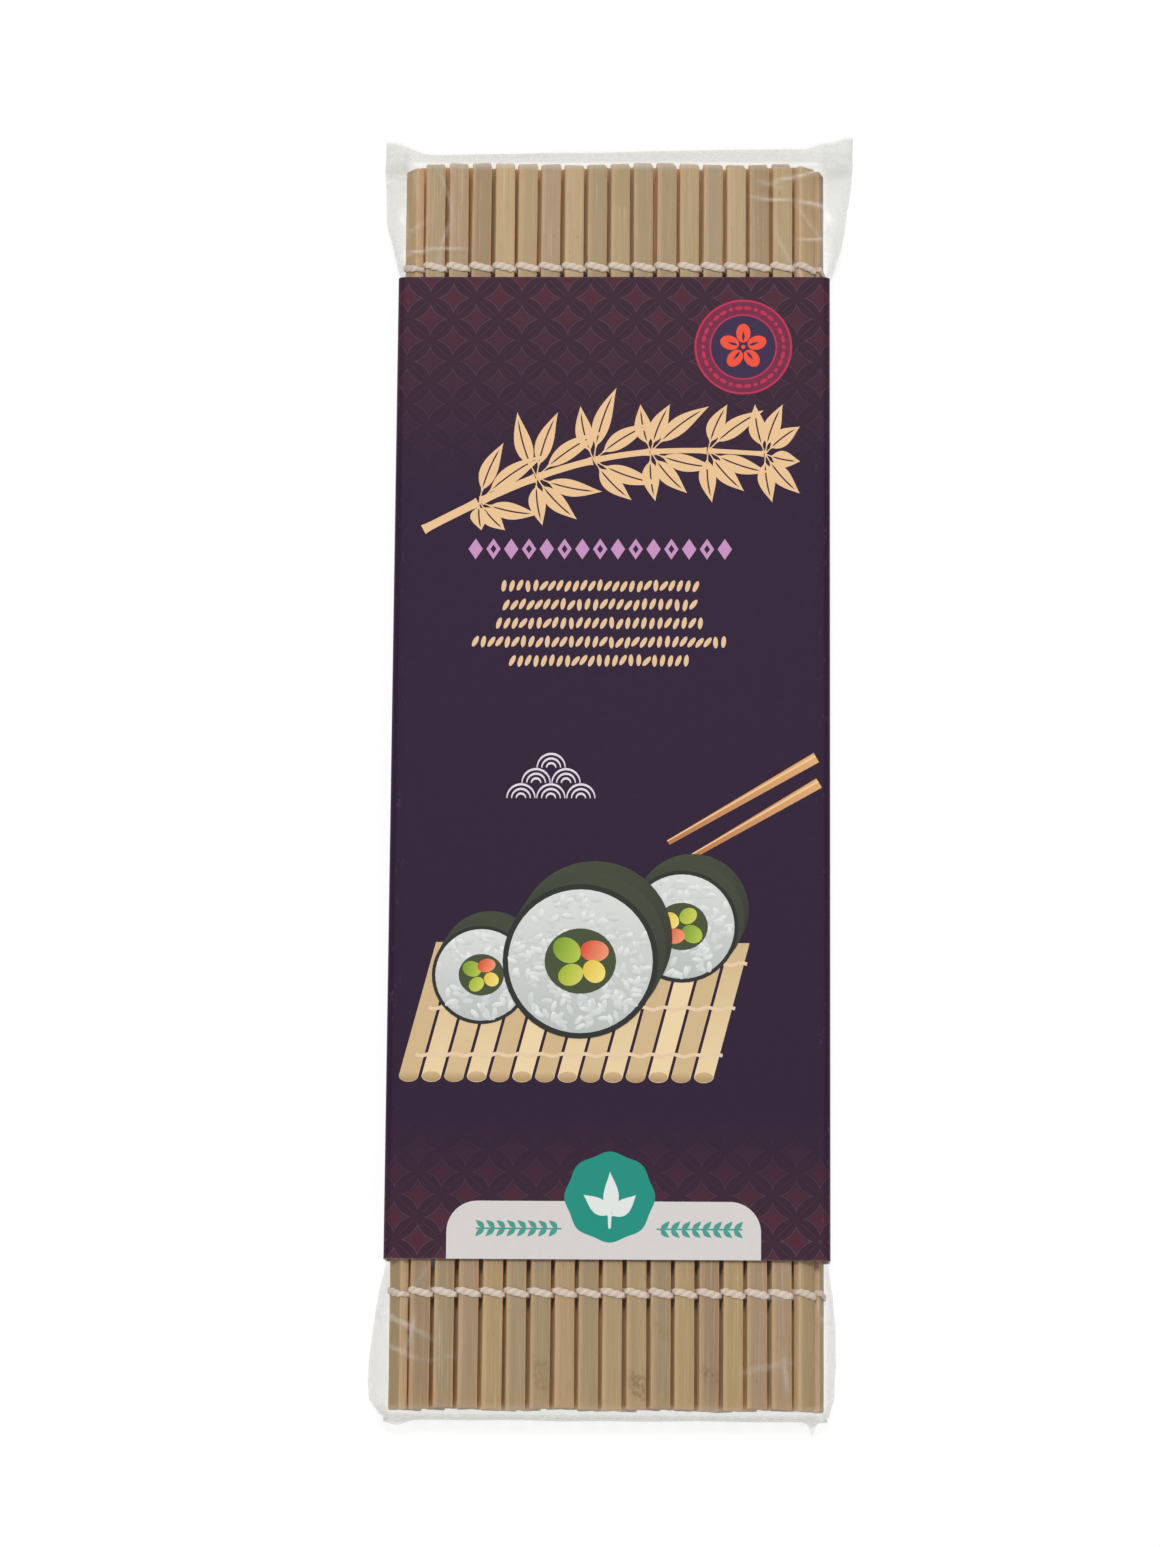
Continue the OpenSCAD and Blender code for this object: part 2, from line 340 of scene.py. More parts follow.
# Slats in the order that the strings run, each with the direction of the run
chain = ([slat_place(name, 180) for name in reversed(flat_slats("inner_slat_"))]
         + [slat_place("left_fold_slat", TILTS["left_fold_slat"])]
         + [slat_place(name, 0) for name in flat_slats("front_slat_")]
         + [slat_place(name, TILTS[name]) for name in ("right_fold_slat_1", "right_fold_slat_2")]
         + [slat_place(name, -180) for name in flat_slats("back_slat_")])
FRONT_NAMES = ["left_fold_slat"] + flat_slats("front_slat_") + ["right_fold_slat_1", "right_fold_slat_2"]

# Each tone's colour and material slot
TONES = {
    "warm": ((178, 149, 111), "bamboo_warm"), "tan": ((172, 147, 108), "bamboo_tan"),
    "greige": ((165, 143, 109), "bamboo_yellow_grey"), "pink": ((167, 140, 110), "bamboo_warm"),
    "brown": ((156, 130, 99), "bamboo_warm"), "light": ((182, 156, 117), "bamboo_light"),
    "olive": ((161, 139, 105), "bamboo_olive"), "yellow": ((177, 150, 106), "bamboo_yellow_grey"),
    "grey": ((161, 141, 109), "bamboo_olive"),
}
# What the photograph shows of the front, from the left: each slat's tone at its top and at its bottom
FRONT_TONES = ("warm tan, greige brown, pink olive, brown pink, light yellow, tan greige, pink olive, "
               "light warm, olive olive, tan tan, olive tan, olive olive, tan yellow, grey brown, "
               "light yellow, brown pink, tan pink, warm tan, brown tan").split(", ")
# Share by which every slat's bottom end is painted darker, a painted shade for light falling off towards the
# bottom
BOTTOM_PAINTED_SHADE = 0.88
# How far each front slat's top end stands past its place, from the left
TOP_SHIFTS = (-0.1, 0.5, 0.6, 0.6, 0.5, 0.5, 0.6, 0.5, 0.6, 0.6, 0.5, 0.1, 0.2, 0.3, 0.0, 0.2, 0.1, 0.1, -0.1)
# The two layers behind stand a little higher than the front, and are painted warmer, a painted warm light for
# where they show between its slats
BEHIND_RISE = 1.7
BEHIND_WARM_LIGHT = np.array((1.18, 1.0, 0.82, 1))
# Marks in the bamboo: from and to along the slat, and how green each is
MARKS = {"front_slat_09": (125.8, 140, 0.9), "front_slat_06": (-130.5, -124, 0.3),
         "front_slat_10": (-132, -127, 0.1), "front_slat_13": (-128.6, -126.2, 0.0)}


def bamboo_material():
    g = new_material("bamboo")
    x, y, z = g.place()
    seed, tone = g.attribute("seed"), g.attribute("tone", tinted=True)
    side, painted_light_wall, end, mark, green = (g.attribute(name) for name in ("side", "painted_light_wall", "end", "mark", "green"))
    # Fibres and hairs run along the slat, and broad streaks and clouds change its tone
    fibre = g.noise(x * 3.4 + seed * 37, y * 0.045, z * 3.4, 3.0, 0.6)
    hair = g.noise(x * 9.0 + seed * 11, y * 0.16, z * 9.0, 2.0, 0.7)
    broad = g.noise(x * 0.55 + seed * 53, y * 0.016 + seed * 5, z * 0.5, 2.0, 0.5)
    cloud = g.noise(x * 0.5 + seed * 71, y * 0.11 + seed * 3, z * 0.5, 3.0, 0.6)
    specks = g.step(g.noise(x * 4.2 + seed * 91, y * 0.75, z * 4.2, 1.0, 0.5), 0.70, 0.80)
    blot = g.noise(x * 1.3 + seed * 29, y * 0.8, z * 1.3, 3.0, 0.6)
    pores = g.grain(5.0, 1.0, 0.5)
    tint = g.over(
        g.scaled(tone, 1.0 + (fibre - 0.5) * 0.3 + (hair - 0.5) * 0.2 + (broad - 0.5) * 0.22),
        (g.step(fibre, 0.56, 0.74) * 0.3, (214, 190, 152)),
        (g.step(cloud, 0.58, 0.78) * 0.34, (146, 124, 88)), (specks * 0.55, (112, 84, 54)),
        # Brown and green marks, and a warmer foot
        (mark * g.step(blot, 0.35, 0.62) * (1.0 - green) * 0.8, (122, 97, 65)),
        (mark * green * (0.35 + blot * 0.5), (160, 139, 98)),
        (g.step(y + blot * 9.0, -126.0, -132.0) * 0.4, (184, 142, 96)),
        # Split sides, paler, the left one painted lighter as a painted highlight; their hidden walls painted
        # bright and warm as a painted glow in the gaps; and cut ends with pores
        (side * (0.3 + g.step(hair, 0.25, 0.6) * 0.35), (208, 176, 140)),
        (painted_light_wall * (0.7 + fibre * 0.4), (250, 194, 120)),
        (end * 0.6, (188, 152, 108)), (end * g.step(pores, 0.58, 0.66) * 0.7, (104, 74, 46)))
    g.bump(fibre * 0.5 + hair * 0.35 + specks * -0.3 + pores * end * 0.6, 0.12)
    rough = 0.52 + (hair - 0.5) * 0.2 + side * 0.16 + end * 0.2
    return g.finish(Base_Color=tint, Roughness=rough, Specular_IOR_Level=0.2)


CORNER_STEPS = 4
FACE_STEPS = 3
# Distances of the rings from each end, and how many there are between
NEAR_END = [0, 0.1, 0.3, 0.7, 1.3, 2.2, 3.5, 5.5, 8]
BETWEEN_COUNT = 40
NEAR_MARK = np.arange(-2.4, 2.5, 0.4)
CLOSEST_RINGS = 0.09
# Cut ends: how far they are chamfered, how ragged they are, and the share of their inner ring
CHAMFER, RAGGED, END_RING = 0.16, 0.07, 0.6


def slat_section():
    """Points round a slat, from the middle of its right side over the top: across and up."""
    points = []
    reach = HALF_W - SLAT_R
    for quarter, (sx, sz) in enumerate(((1, 1), (-1, 1), (-1, -1), (1, -1))):
        for i in range(CORNER_STEPS + 1):
            a = math.radians(90 * (quarter + i / CORNER_STEPS))
            points.append((sx * reach + SLAT_R * math.cos(a), sz * (HALF_T - SLAT_R) + SLAT_R * math.sin(a)))
        if quarter in (0, 2):
            for i in range(1, FACE_STEPS + 1):
                points.append((sx * reach * (1 - 2 * i / (FACE_STEPS + 1)), sz * HALF_T))
    return np.array(points)


def slat_stations(low, high, marks):
    """Places along a slat, close together at its cut ends and at its marks."""
    places = [low + n for n in NEAR_END] + [high - n for n in NEAR_END]
    ends = NEAR_END[-1]
    places += [low + ends + (high - low - 2 * ends) * i / BETWEEN_COUNT for i in range(1, BETWEEN_COUNT)]
    for mark in marks:
        places += [mark + d for d in NEAR_MARK if low + 1 < mark + d < high - 1]
    kept = [low]
    for place in sorted(places):
        if place - kept[-1] > CLOSEST_RINGS:
            kept.append(place)
    return np.array(kept)


def slat_tube(y, section, order, joint, draw):
    """Rings of points along a slat: across, along and up.

    The strip isn't quite straight, its split edges wander, and it stands up a little at its joint."""
    rows, columns = len(y), len(section)
    u, v = (np.repeat(section[None, :, axis], rows, 0) for axis in (0, 1))
    along = np.repeat(y[:, None], columns, 1)
    width = 1 + draw.uniform(-0.012, 0.006) + 0.008 * wave(y, order, 70, 31)
    edge_right = 0.035 * wave(y, order + 300, 34, 13, 6)
    edge_left = 0.035 * wave(y, order + 600, 29, 12, 5)
    right, left = smooth_step(u, 0.4, HALF_W), smooth_step(-u, 0.4, HALF_W)
    u = u * width[:, None] + right * edge_right[:, None] + left * edge_left[:, None]
    crown = 0.05 * (1 - (section[:, 0] / HALF_W) ** 2)
    slanting = along + 0.35 * u
    swell = 0.09 * hump(slanting, joint, 1.3) - 0.05 * hump(slanting, joint + 2.2, 0.8)
    v = v + np.where(v > 0.5, crown[None, :] + swell, 0)
    v = v + 0.02 * wave(y, order + 900, 40, 17)[:, None]
    inset = CHAMFER * (1 - smooth_step(np.minimum(y - y[0], y[-1] - y), 0, 0.34))
    u = u * (1 - inset / HALF_W)[:, None] + 0.09 * wave(y, order + 1200, 260, 120)[:, None]
    v = v * (1 - inset / HALF_T)[:, None]
    saw = np.array([draw.uniform(-RAGGED, RAGGED) for _ in range(columns)])
    slant = draw.uniform(-0.05, 0.05)
    for row, sign in ((0, 1), (-1, -1)):
        along[row] += sign * np.abs(saw) + slant * u[row]
    return np.stack([u, along, v], -1)


def close_ends(tube, draw):
    """A tube's points and faces with its cut ends closed.

    The ends' points come last: two rings each, the first on the tube's own end, and then the two middles."""
    rows, columns, _ = tube.shape
    rings = []
    for row in (0, -1):
        inner = tube[row] * (END_RING, 1, END_RING)
        inner[:, 1] += [draw.uniform(-0.05, 0.05) for _ in range(columns)]
        rings += [tube[row], inner]
    points = np.concatenate([tube.reshape(-1, 3), *rings, tube[[0, -1]].mean(1)])
    faces = grid_faces(rows, columns)[:, ::-1].tolist()
    for cap in (0, 1):
        first = (rows + 2 * cap) * columns
        second = first + columns
        for j in range(columns):
            k = (j + 1) % columns
            loop = [first + j, first + k, second + k, second + j]
            fan = [second + j, second + k, len(points) - 2 + cap]
            faces += [loop[::-1], fan[::-1]] if cap else [loop, fan]
    return points, faces


def make_slat(place, order, material):
    name = place["name"]
    draw = random.Random(order * 101 + 7)
    in_front = name in FRONT_NAMES
    words = FRONT_TONES[FRONT_NAMES.index(name)].split() if in_front else draw.sample(sorted(TONES), 2)
    if name in MARKS:
        start, stop, green = MARKS[name]
    else:
        start = draw.uniform(-120, 110)
        stop = start + draw.uniform(1.5, 5)
        green = draw.choice((0, 0.4, 0.8))
    joint = draw.uniform(-95, 95)
    y = slat_stations(place["low"], place["high"], [start, stop, joint])
    rise = TOP_SHIFTS[FRONT_NAMES.index(name)] if in_front else BEHIND_RISE
    y = y + rise * smooth_step(y, 60, place["high"])
    section = slat_section()
    tube = slat_tube(y, section, order, joint, draw)
    points, faces = close_ends(tube, draw)

    tone_share = smooth_step(tube[..., 1], -60, 60)[..., None]
    top, bottom = (np.array(colour(*TONES[word][0])) for word in words)
    tone = bottom * BOTTOM_PAINTED_SHADE * (1 - tone_share) + top * tone_share
    # The layers behind are painted warmer, a painted warm light
    if not in_front:
        tone = tone * BEHIND_WARM_LIGHT
    # The split sides turn paler; the left one more widely and strongly, a painted highlight for light from
    # the left
    side = np.maximum(smooth_step(section[:, 0], 1.78, 2.02) * 0.9, smooth_step(-section[:, 0], 1.5, 1.8))
    # The hidden walls between the flat slats get a painted glow, standing in for light in the gaps
    painted_light_wall = smooth_step(np.abs(section[:, 0]), 1.96, 2.05) * ("fold" not in name)
    slope = tube[..., 1] + 0.5 * tube[..., 0]
    soft = 0.35 if green else 1.3
    mark = smooth_step(slope, start - soft, start + soft) * (1 - smooth_step(slope, stop - soft, stop + soft))
    mark = np.maximum(mark, 0.6 * hump(slope, joint + 1.2, 0.45))
    count, rows = len(points), len(y)
    on_end = np.zeros(count - mark.size)
    tones = [tone.reshape(-1, 4), tone[0], tone[0], tone[-1], tone[-1], tone[[0, -1], 0]]
    attributes = {
        "side": np.append(np.tile(side, rows), on_end), "painted_light_wall": np.append(np.tile(painted_light_wall, rows), on_end),
        "mark": np.append(mark, on_end), "end": np.append(np.zeros(mark.size), on_end + 1),
        "tone": np.concatenate(tones), "seed": np.full(count, draw.random()), "green": np.full(count, green),
    }
    c, s = math.cos(place["run"]), math.sin(place["run"])
    x = place["x"] + points[:, 0] * c - points[:, 2] * s
    z = place["z"] + points[:, 0] * s + points[:, 2] * c
    new_piece(name.replace("slat", "bamboo"), np.stack([x, points[:, 1], z], -1), faces, [material], "mat",
              [name], attributes)


bamboo = bamboo_material()
for order, place in enumerate(chain):
    make_slat(place, order, bamboo)


# Cotton strings
STRAND_W, STRAND_T = 1.56, 0.56
STRAND_OFF = 0.44
# A strand's width in the gaps, as a share
PINCH = 0.74
WRAP = SLAT_R + 0.02 + STRAND_T / 2
TAIL = 1.3
RING_STEP = 0.34
RING_POINTS = 10
PLY_LENGTH = 3.3
FINEST_TURN = 15
names = [place["name"] for place in chain]
LEFT_K, RIGHT_K = names.index("left_fold_slat"), names.index("right_fold_slat_2")


def edge_middle(k, end, side):
    """The middle of an edge's rounding on slat k: end -1 is where the run comes in, side 1 is outside."""
    place = chain[k]
    u, v, a = end * (HALF_W - SLAT_R), side * (HALF_T - SLAT_R), place["run"]
    return place["x"] + u * math.cos(a) - v * math.sin(a), place["z"] + u * math.sin(a) + v * math.cos(a)


def past_slat(k, side, row_y):
    """What a strand passes: x, z, the radius that it keeps on its right (left below 0), y, may it miss."""
    come, go = 0 if k == LEFT_K and side < 0 else -1, 0 if k == RIGHT_K and side < 0 else 1
    stops = [(*edge_middle(k, come, side), side * WRAP, row_y + side * STRAND_OFF, False),
             (*edge_middle(k, go, side), side * WRAP, row_y - side * STRAND_OFF, False)]
    if side > 0:
        stops.insert(0, (*edge_middle(k, -1, -1), WRAP, row_y + STRAND_OFF, True))
        stops.append((*edge_middle(k, 1, -1), WRAP, row_y - STRAND_OFF, True))
    return stops


def heading(p, q):
    """Direction of the taut stretch between two stops, or NaN where one's circle holds the other's middle."""
    dx, dz = q[0] - p[0], q[1] - p[1]
    lean = (p[2] - q[2]) / math.hypot(dx, dz)
    return math.atan2(dz, dx) - math.asin(lean) if abs(lean) <= 1 else math.nan


def bend(stops, i):
    """The direction in which a strand comes to a stop, and its turn there, above 0 where it bears on it."""
    come, go = heading(stops[i - 1], stops[i]), heading(stops[i], stops[i + 1])
    return come, math.copysign(1, stops[i][2]) * math.remainder(come - go, math.tau)


def strand_stops(first, row_y):
    sides = [first if k % 2 == 0 else -first for k in range(len(chain))]
    start, end = chain[0], chain[-1]
    stops = [(start["x"] + HALF_W + TAIL, start["z"], 0, row_y + first * STRAND_OFF, False)]
    for k, side in enumerate(sides):
        stops += past_slat(k, side, row_y)
    stops.append((end["x"] - HALF_W - TAIL, end["z"], 0, row_y - sides[-1] * STRAND_OFF, False))
    return [stop for i, stop in enumerate(stops) if not stop[4] or bend(stops, i)[1] > 0]


def strand_way(first, row_y):
    """Points along a strand, evenly spaced, with soft turns."""
    stops = strand_stops(first, row_y)
    way = [(stops[0][0], stops[0][3], stops[0][1])]
    for i in range(1, len(stops) - 1):
        x, z, radius, y, _ = stops[i]
        come, turn = bend(stops, i)
        parts = max(2, math.ceil(abs(math.degrees(turn)) / FINEST_TURN))
        for j in range(parts + 1):
            a = come - math.copysign(1, radius) * turn * j / parts
            way.append((x - radius * math.sin(a), y, z + radius * math.cos(a)))
    way.append((stops[-1][0], stops[-1][3], stops[-1][1]))
    way = np.array(way)
    length = np.concatenate([[0], np.cumsum(np.linalg.norm(np.diff(way, axis=0), axis=1))])
    places = np.linspace(0, length[-1], int(length[-1] / RING_STEP) + 1)
    even = np.stack([np.interp(places, length, way[:, i]) for i in range(3)], -1)
    for times, axis in ((5, 1), (1, 0), (1, 2)):
        for _ in range(times):
            even[1:-1, axis] = np.convolve(even[:, axis], (0.25, 0.5, 0.25), "valid")
    return even, places


def in_gap(way):
    """How much each point of a strand is in a gap between slats, from 0 to 1."""
    off = way[:, None, [0, 2]] - np.array([(p["x"], p["z"]) for p in chain])[None]
    run = np.array([(math.cos(p["run"]), math.sin(p["run"])) for p in chain])
    nearest = np.linalg.norm(off, axis=2).argmin(1)
    past = np.abs((off[np.arange(len(way)), nearest] * run[nearest]).sum(1))
    return smooth_step(past, HALF_W - 0.35, HALF_W + 0.15)


def strand_mesh(first, row_y, seed):
    """A strand's points and faces, and how deep each point lies between its two plies, which the cotton
    paints darker as painted shade.
    """
    way, places = strand_way(first, row_y)
    along = np.gradient(way, axis=0)
    along /= np.linalg.norm(along, axis=1)[:, None]
    out = np.stack([-along[:, 2], np.zeros(len(way)), along[:, 0]], -1)
    out /= np.linalg.norm(out, axis=1)[:, None]
    across = np.cross(along, out)
    turn = np.arange(RING_POINTS) / RING_POINTS * math.tau
    ply = math.tau * places / PLY_LENGTH + seed
    lobes = np.cos(2 * (turn[None, :] - ply[:, None]))
    draw = random.Random(seed)
    fuzz = np.array([[draw.uniform(-1, 1) for _ in range(RING_POINTS)] for _ in places])
    swell = 1 + 0.05 * wave(places, seed, 9, 4)[:, None]
    ends = 1 + 0.35 * np.exp(-np.minimum(places, places[-1] - places) / 0.5)[:, None]
    girth = swell * ends * (1 + 0.07 * lobes + 0.04 * fuzz)
    broad = girth * (1 - (1 - PINCH) * in_gap(way))[:, None]
    points = (way[:, None, :] + across[:, None, :] * (np.cos(turn)[None, :] * broad * STRAND_W / 2)[..., None]
              + out[:, None, :] * (np.sin(turn)[None, :] * girth * STRAND_T / 2)[..., None])
    last = (len(way) - 1) * RING_POINTS
    faces = grid_faces(len(way), RING_POINTS).tolist()
    faces += [list(range(RING_POINTS))[::-1], [last + j for j in range(RING_POINTS)]]
    return points.reshape(-1, 3).tolist(), faces, np.clip(0.5 - 0.5 * lobes, 0, 1).ravel().tolist()


def cotton_material():
    g = new_material("cotton")
    groove = g.attribute("groove")
    fine, soft = g.grain(7.0, 3.0, 0.7), g.grain(0.7, 2.0, 0.5)
    # The grooves between the plies are painted darker, a painted shade
    shade = 1.0 - groove * 0.12 + (fine - 0.5) * 0.28 + (soft - 0.5) * 0.12
    tint = g.scaled(g.mix(groove * 0.5, colour(222, 205, 189), colour(202, 182, 163)), shade)
    g.bump(fine * 0.6 + groove * -0.4, 0.14)
    return g.finish(Base_Color=tint, Roughness=0.92, Specular_IOR_Level=0.15,
                    Sheen_Weight=0.25, Sheen_Roughness=0.6)


cotton = cotton_material()
for row in range(1, 6):
    node = f"string_row_{row}"
    row_y = np.mean([corner[1] for corner in node_box(node)])
    points, faces, groove = [], [], []
    for first in (-1, 1):
        strand, strand_faces, strand_groove = strand_mesh(first, row_y, row * 10 + first)
        faces += [[i + len(points) for i in f] for f in strand_faces]
        points += strand
        groove += strand_groove
    new_piece(f"cotton_row_{row}", points, faces, [cotton], "mat", [node], {"groove": groove}, 80)


# Film bag
film_low, film_high = node_box("film_bag")
sleeve_low, sleeve_high = node_box("card_sleeve")
FILM_MIDDLE = (film_low[2] + film_high[2]) / 2
FILM_HALF = (film_high[2] - film_low[2]) / 2
# Half the width of the film's flat faces, and of the bag in the sleeve
FLAT_HALF, FILM_SIDE = 44.35, 46.47
SLAT_END = 135.9
MOUTH, WELD, WELD_WIDTH = 139.0, -137.0, 1.3
# The part of the bag that the sleeve holds, and about the middle of the sleeve
HELD_LOW, HELD_HIGH, SLEEVE_MIDDLE = -104, 109, 3
# How far the film's sides reach at places along it, from the mouth down: each corner has its own shape
LEFT_REACH = [(139, 50.5), (135, 50.6), (123, 50.1), (112, 47.3), (109.7, FILM_SIDE), (-104, FILM_SIDE),
              (-113.5, 48.6), (-121.7, 49.7), (-129, 50.3), (-133, 49.8), (-137, 46.8)]
RIGHT_REACH = [(139, 52.2), (131, 51.8), (117.5, 49.7), (111, 47.5), (109.7, FILM_SIDE), (-104, FILM_SIDE),
               (-111, 47.5), (-117, 48.2), (-125, 48.2), (-132, 47.9), (-137, 46.4)]
# Points over the front, over the back and round each side
FRONT_POINTS, BACK_POINTS, SIDE_POINTS = 150, 76, 26
# Half the room between the two layers at the mouth and at the weld
LIP_HALF, WELD_HALF = 0.28, 0.05
# How square its section is in the sleeve and where it is loose, as the power of a superellipse
HELD_POWER, LOOSE_POWER = 5, 1.8
# Past the slats: the share of the way at which the layers meet at the weld, and how front and back close
MEETING, CLOSING, BACK_CLOSING = 0.62, 0.9, 2.2
# How much narrower the flat faces are at the ends
END_NARROWING = 1.2
FOLD_COUNT = 26


def interpolated(place, pairs):
    return np.interp(place, *zip(*sorted(pairs)))


def film_ring():
    """One ring of the bag from the left over the front: each point's share of the way to a side, and bend."""
    u = [np.linspace(-1, 1, FRONT_POINTS, endpoint=False), np.ones(SIDE_POINTS),
         np.linspace(1, -1, BACK_POINTS, endpoint=False), -np.ones(SIDE_POINTS)]
    bend = [np.full(FRONT_POINTS, 90.0), np.linspace(90, -90, SIDE_POINTS, endpoint=False),
            np.full(BACK_POINTS, -90.0), np.linspace(-90, -270, SIDE_POINTS, endpoint=False)]
    return np.concatenate(u), np.radians(np.concatenate(bend))


def film_stations():
    """Places along the bag, each with how far it is past the slats: from -1 at the weld to 1 at the mouth."""
    lower = HELD_LOW + (-SLAT_END - HELD_LOW) * np.linspace(0, 1, 44)[1:]
    upper = HELD_HIGH + (SLAT_END - HELD_HIGH) * np.linspace(0, 1, 40)[1:]
    past = np.linspace(0, 1, 9)[1:]
    return ([(-SLAT_END, -k) for k in past[::-1]]
            + [(y, 0.0) for y in (*lower[::-1], *np.linspace(HELD_LOW, HELD_HIGH, 36), *upper)]
            + [(SLAT_END, k) for k in past])


def film_row(y0, past, u, bend):
    """The points of one ring. Past the slats the two layers come down to each other."""
    c, s = np.abs(np.cos(bend)), np.sin(bend)
    front = s > 0
    held_middle, held_half = (HELD_LOW + HELD_HIGH) / 2, (HELD_HIGH - HELD_LOW) / 2
    out = max(0.0, (abs(y0 - held_middle) - held_half) / (SLAT_END - HELD_HIGH))
    power = HELD_POWER - (HELD_POWER - LOOSE_POWER) * min(1, out * 1.2)
    height = FILM_HALF
    if past < 0:
        height = FILM_HALF * max(0.0, 1 + past / MEETING) ** CLOSING + WELD_HALF
    if past > 0:
        height = FILM_HALF * np.where(front, (1 - past) ** CLOSING, 1 - past ** BACK_CLOSING)
        height = height + LIP_HALF * past
    left, right = (interpolated(y0 + past * 3, pairs) for pairs in (LEFT_REACH, RIGHT_REACH))
    flat_x = FLAT_HALF - END_NARROWING * abs(past)
    round_side = np.sign(u) * (flat_x + (np.where(u < 0, left, right) - flat_x) * c ** (2 / power))
    x = np.where(np.abs(u) < 1, u * flat_x, round_side)
    end = np.full(len(x), y0)
    if past > 0:
        # The mouth's edge rises to the right, and stands up at its corners
        lean = 0.95 + 0.65 * np.clip(x / 36, -1, 1)
        corners = 2.4 * smooth_step(-x, 40, 49) + 1.1 * smooth_step(x, 42, 45.2) + smooth_step(x, 47.6, 51)
        end = MOUTH + lean + corners - 0.4 * ~front + 0.07 * wave(x, 5, 37, 17)
    if past < 0:
        # A tail hangs from the weld near either side
        end = WELD - hump(x, -44, 2.4) - 2.6 * hump(x, 43.2, 0.8) + 0.12 * wave(x, 6, 41, 19)
    z = FILM_MIDDLE + np.sign(s) * height * np.abs(s) ** (2 / power)
    return np.stack([x, y0 + (end - y0) * abs(past), z], -1)


def film_folds(x, y):
    """The folds that run in from the loose corners and along the ends: their strength, which the film shows
    as a painted highlight, and their rise.
    """
    draw = random.Random(41)
    crease_highlight, rise = np.zeros_like(x), np.zeros_like(x)
    for _ in range(FOLD_COUNT):
        upward = draw.random() < 0.5
        fold_x = draw.choice((-1, 1)) * draw.uniform(33, 49)
        fold_y = draw.uniform(113, 134) if upward else draw.uniform(-134, -108)
        lean = math.radians(draw.uniform(-35, 35) + (0 if draw.random() < 0.55 else 90))
        length, width, strength = draw.uniform(4, 13), draw.uniform(0.3, 0.6), draw.uniform(0.3, 1)
        dx, dy = x - fold_x, y - fold_y
        along, off = dx * math.sin(lean) + dy * math.cos(lean), dx * math.cos(lean) - dy * math.sin(lean)
        off = off + 0.02 * along ** 2 * draw.uniform(-1, 1)
        line = strength * hump(off, 0, width) * (1 - smooth_step(np.abs(along), length * 0.2, length))
        crease_highlight = np.maximum(crease_highlight, line)
        rise += line * 0.28
    return crease_highlight, rise


def film_bag():
    u, bend = film_ring()
    points = np.array([film_row(y0, past, u, bend) for y0, past in film_stations()])
    x, y, z = points[..., 0], points[..., 1], points[..., 2]
    crease_highlight, rise = film_folds(x, y)
    off_middle = np.abs(y - SLEEVE_MIDDLE)
    # The corners beside the slats hang loose
    loose = smooth_step(np.abs(x), 45.8, 47.6) * smooth_step(off_middle, 103, 112)
    drape = loose * (0.35 * wave(y, 17, 19, 9) + 0.12 * wave(y + 0.7 * x, 18, 7.5))
    points[..., 2] += np.sign(z - FILM_MIDDLE) * rise * smooth_step(off_middle, 108, 111) + drape * 0.8
    points[..., 0] += np.sign(x) * loose * (0.08 * wave(y, 19, 13, 7))
    # The film is made hazier where it stands steep to the camera, a painted reflection, at its lip and weld,
    # and in its folds, where the haze is a painted highlight
    covered = 1 - smooth_step(off_middle, 100, 105)
    painted_light_wall = smooth_step(np.abs(x), FLAT_HALF - 0.5, FLAT_HALF + 0.8)
    past_side = smooth_step(np.abs(x), 45.2, 46.8) * smooth_step(off_middle, 103, 112)
    past_slats = smooth_step(np.abs(y), SLAT_END - 2.6, SLAT_END + 0.4)
    lip = smooth_step(y, MOUTH - 0.9, MOUTH - 0.2)
    weld = 1 - smooth_step(y, WELD + WELD_WIDTH - 0.25, WELD + WELD_WIDTH)
    haze_and_reflection = 0.012 + (0.05 + 0.06 * painted_light_wall) * covered + 0.32 * past_side + 0.3 * past_slats
    haze_and_reflection = haze_and_reflection + 0.12 * lip + 0.12 * weld + 0.22 * crease_highlight
    new_piece("clear_bag", points.reshape(-1, 3), grid_faces(*x.shape)[:, ::-1], [film_material()], "film",
              ["film_bag"], {"haze_and_reflection": haze_and_reflection.ravel(), "crease_highlight": crease_highlight.ravel()}, 70)


def film_material():
    g = new_material("film")
    x, y, z = g.place()
    smear = g.noise(x * 0.5, y * 0.22, z * 0.5, 3.0, 0.6)
    grain = g.noise(x * 3.0, y * 1.2, z * 3.0, 2.0, 0.5)
    alpha = g.attribute("haze_and_reflection") * (0.86 + smear * 0.35) + g.step(grain, 0.66, 0.8) * 0.02
    # The folds are painted whiter, painted highlights on the creases
    tint = g.mix(g.step(g.attribute("crease_highlight"), 0.1, 0.9), colour(232, 233, 226), colour(246, 246, 244))
    g.bump(smear, 0.04)
    return g.finish(Base_Color=tint, Roughness=0.22 + smear * 0.1, Alpha=g.least(alpha, 0.8))


film_bag()


# Card sleeve
CARD_T, FOLD_R = 0.4, 1.6
CROWN = 0.2
GLUE_MIDDLE, GLUE_HALF, SEAM_HALF = 18.0, 7.5, 0.15
SLEEVE_HALF = (sleeve_high[0] - sleeve_low[0]) / 2
SLEEVE_H = sleeve_high[2]
SLEEVE_TOP, SLEEVE_BOTTOM = sleeve_high[1], sleeve_low[1]
SLEEVE_LEN = SLEEVE_TOP - SLEEVE_BOTTOM
ARC_STEPS = 8


def front_height(x, y):
    """The card's front, which stands up a little in its middle and isn't quite even."""
    share = np.clip(1 - (np.asarray(x) / (SLEEVE_HALF - FOLD_R)) ** 2, 0, 1)
    return SLEEVE_H + CROWN * share * (0.8 + 0.2 * np.sin(np.asarray(y) / 31 + 0.6))


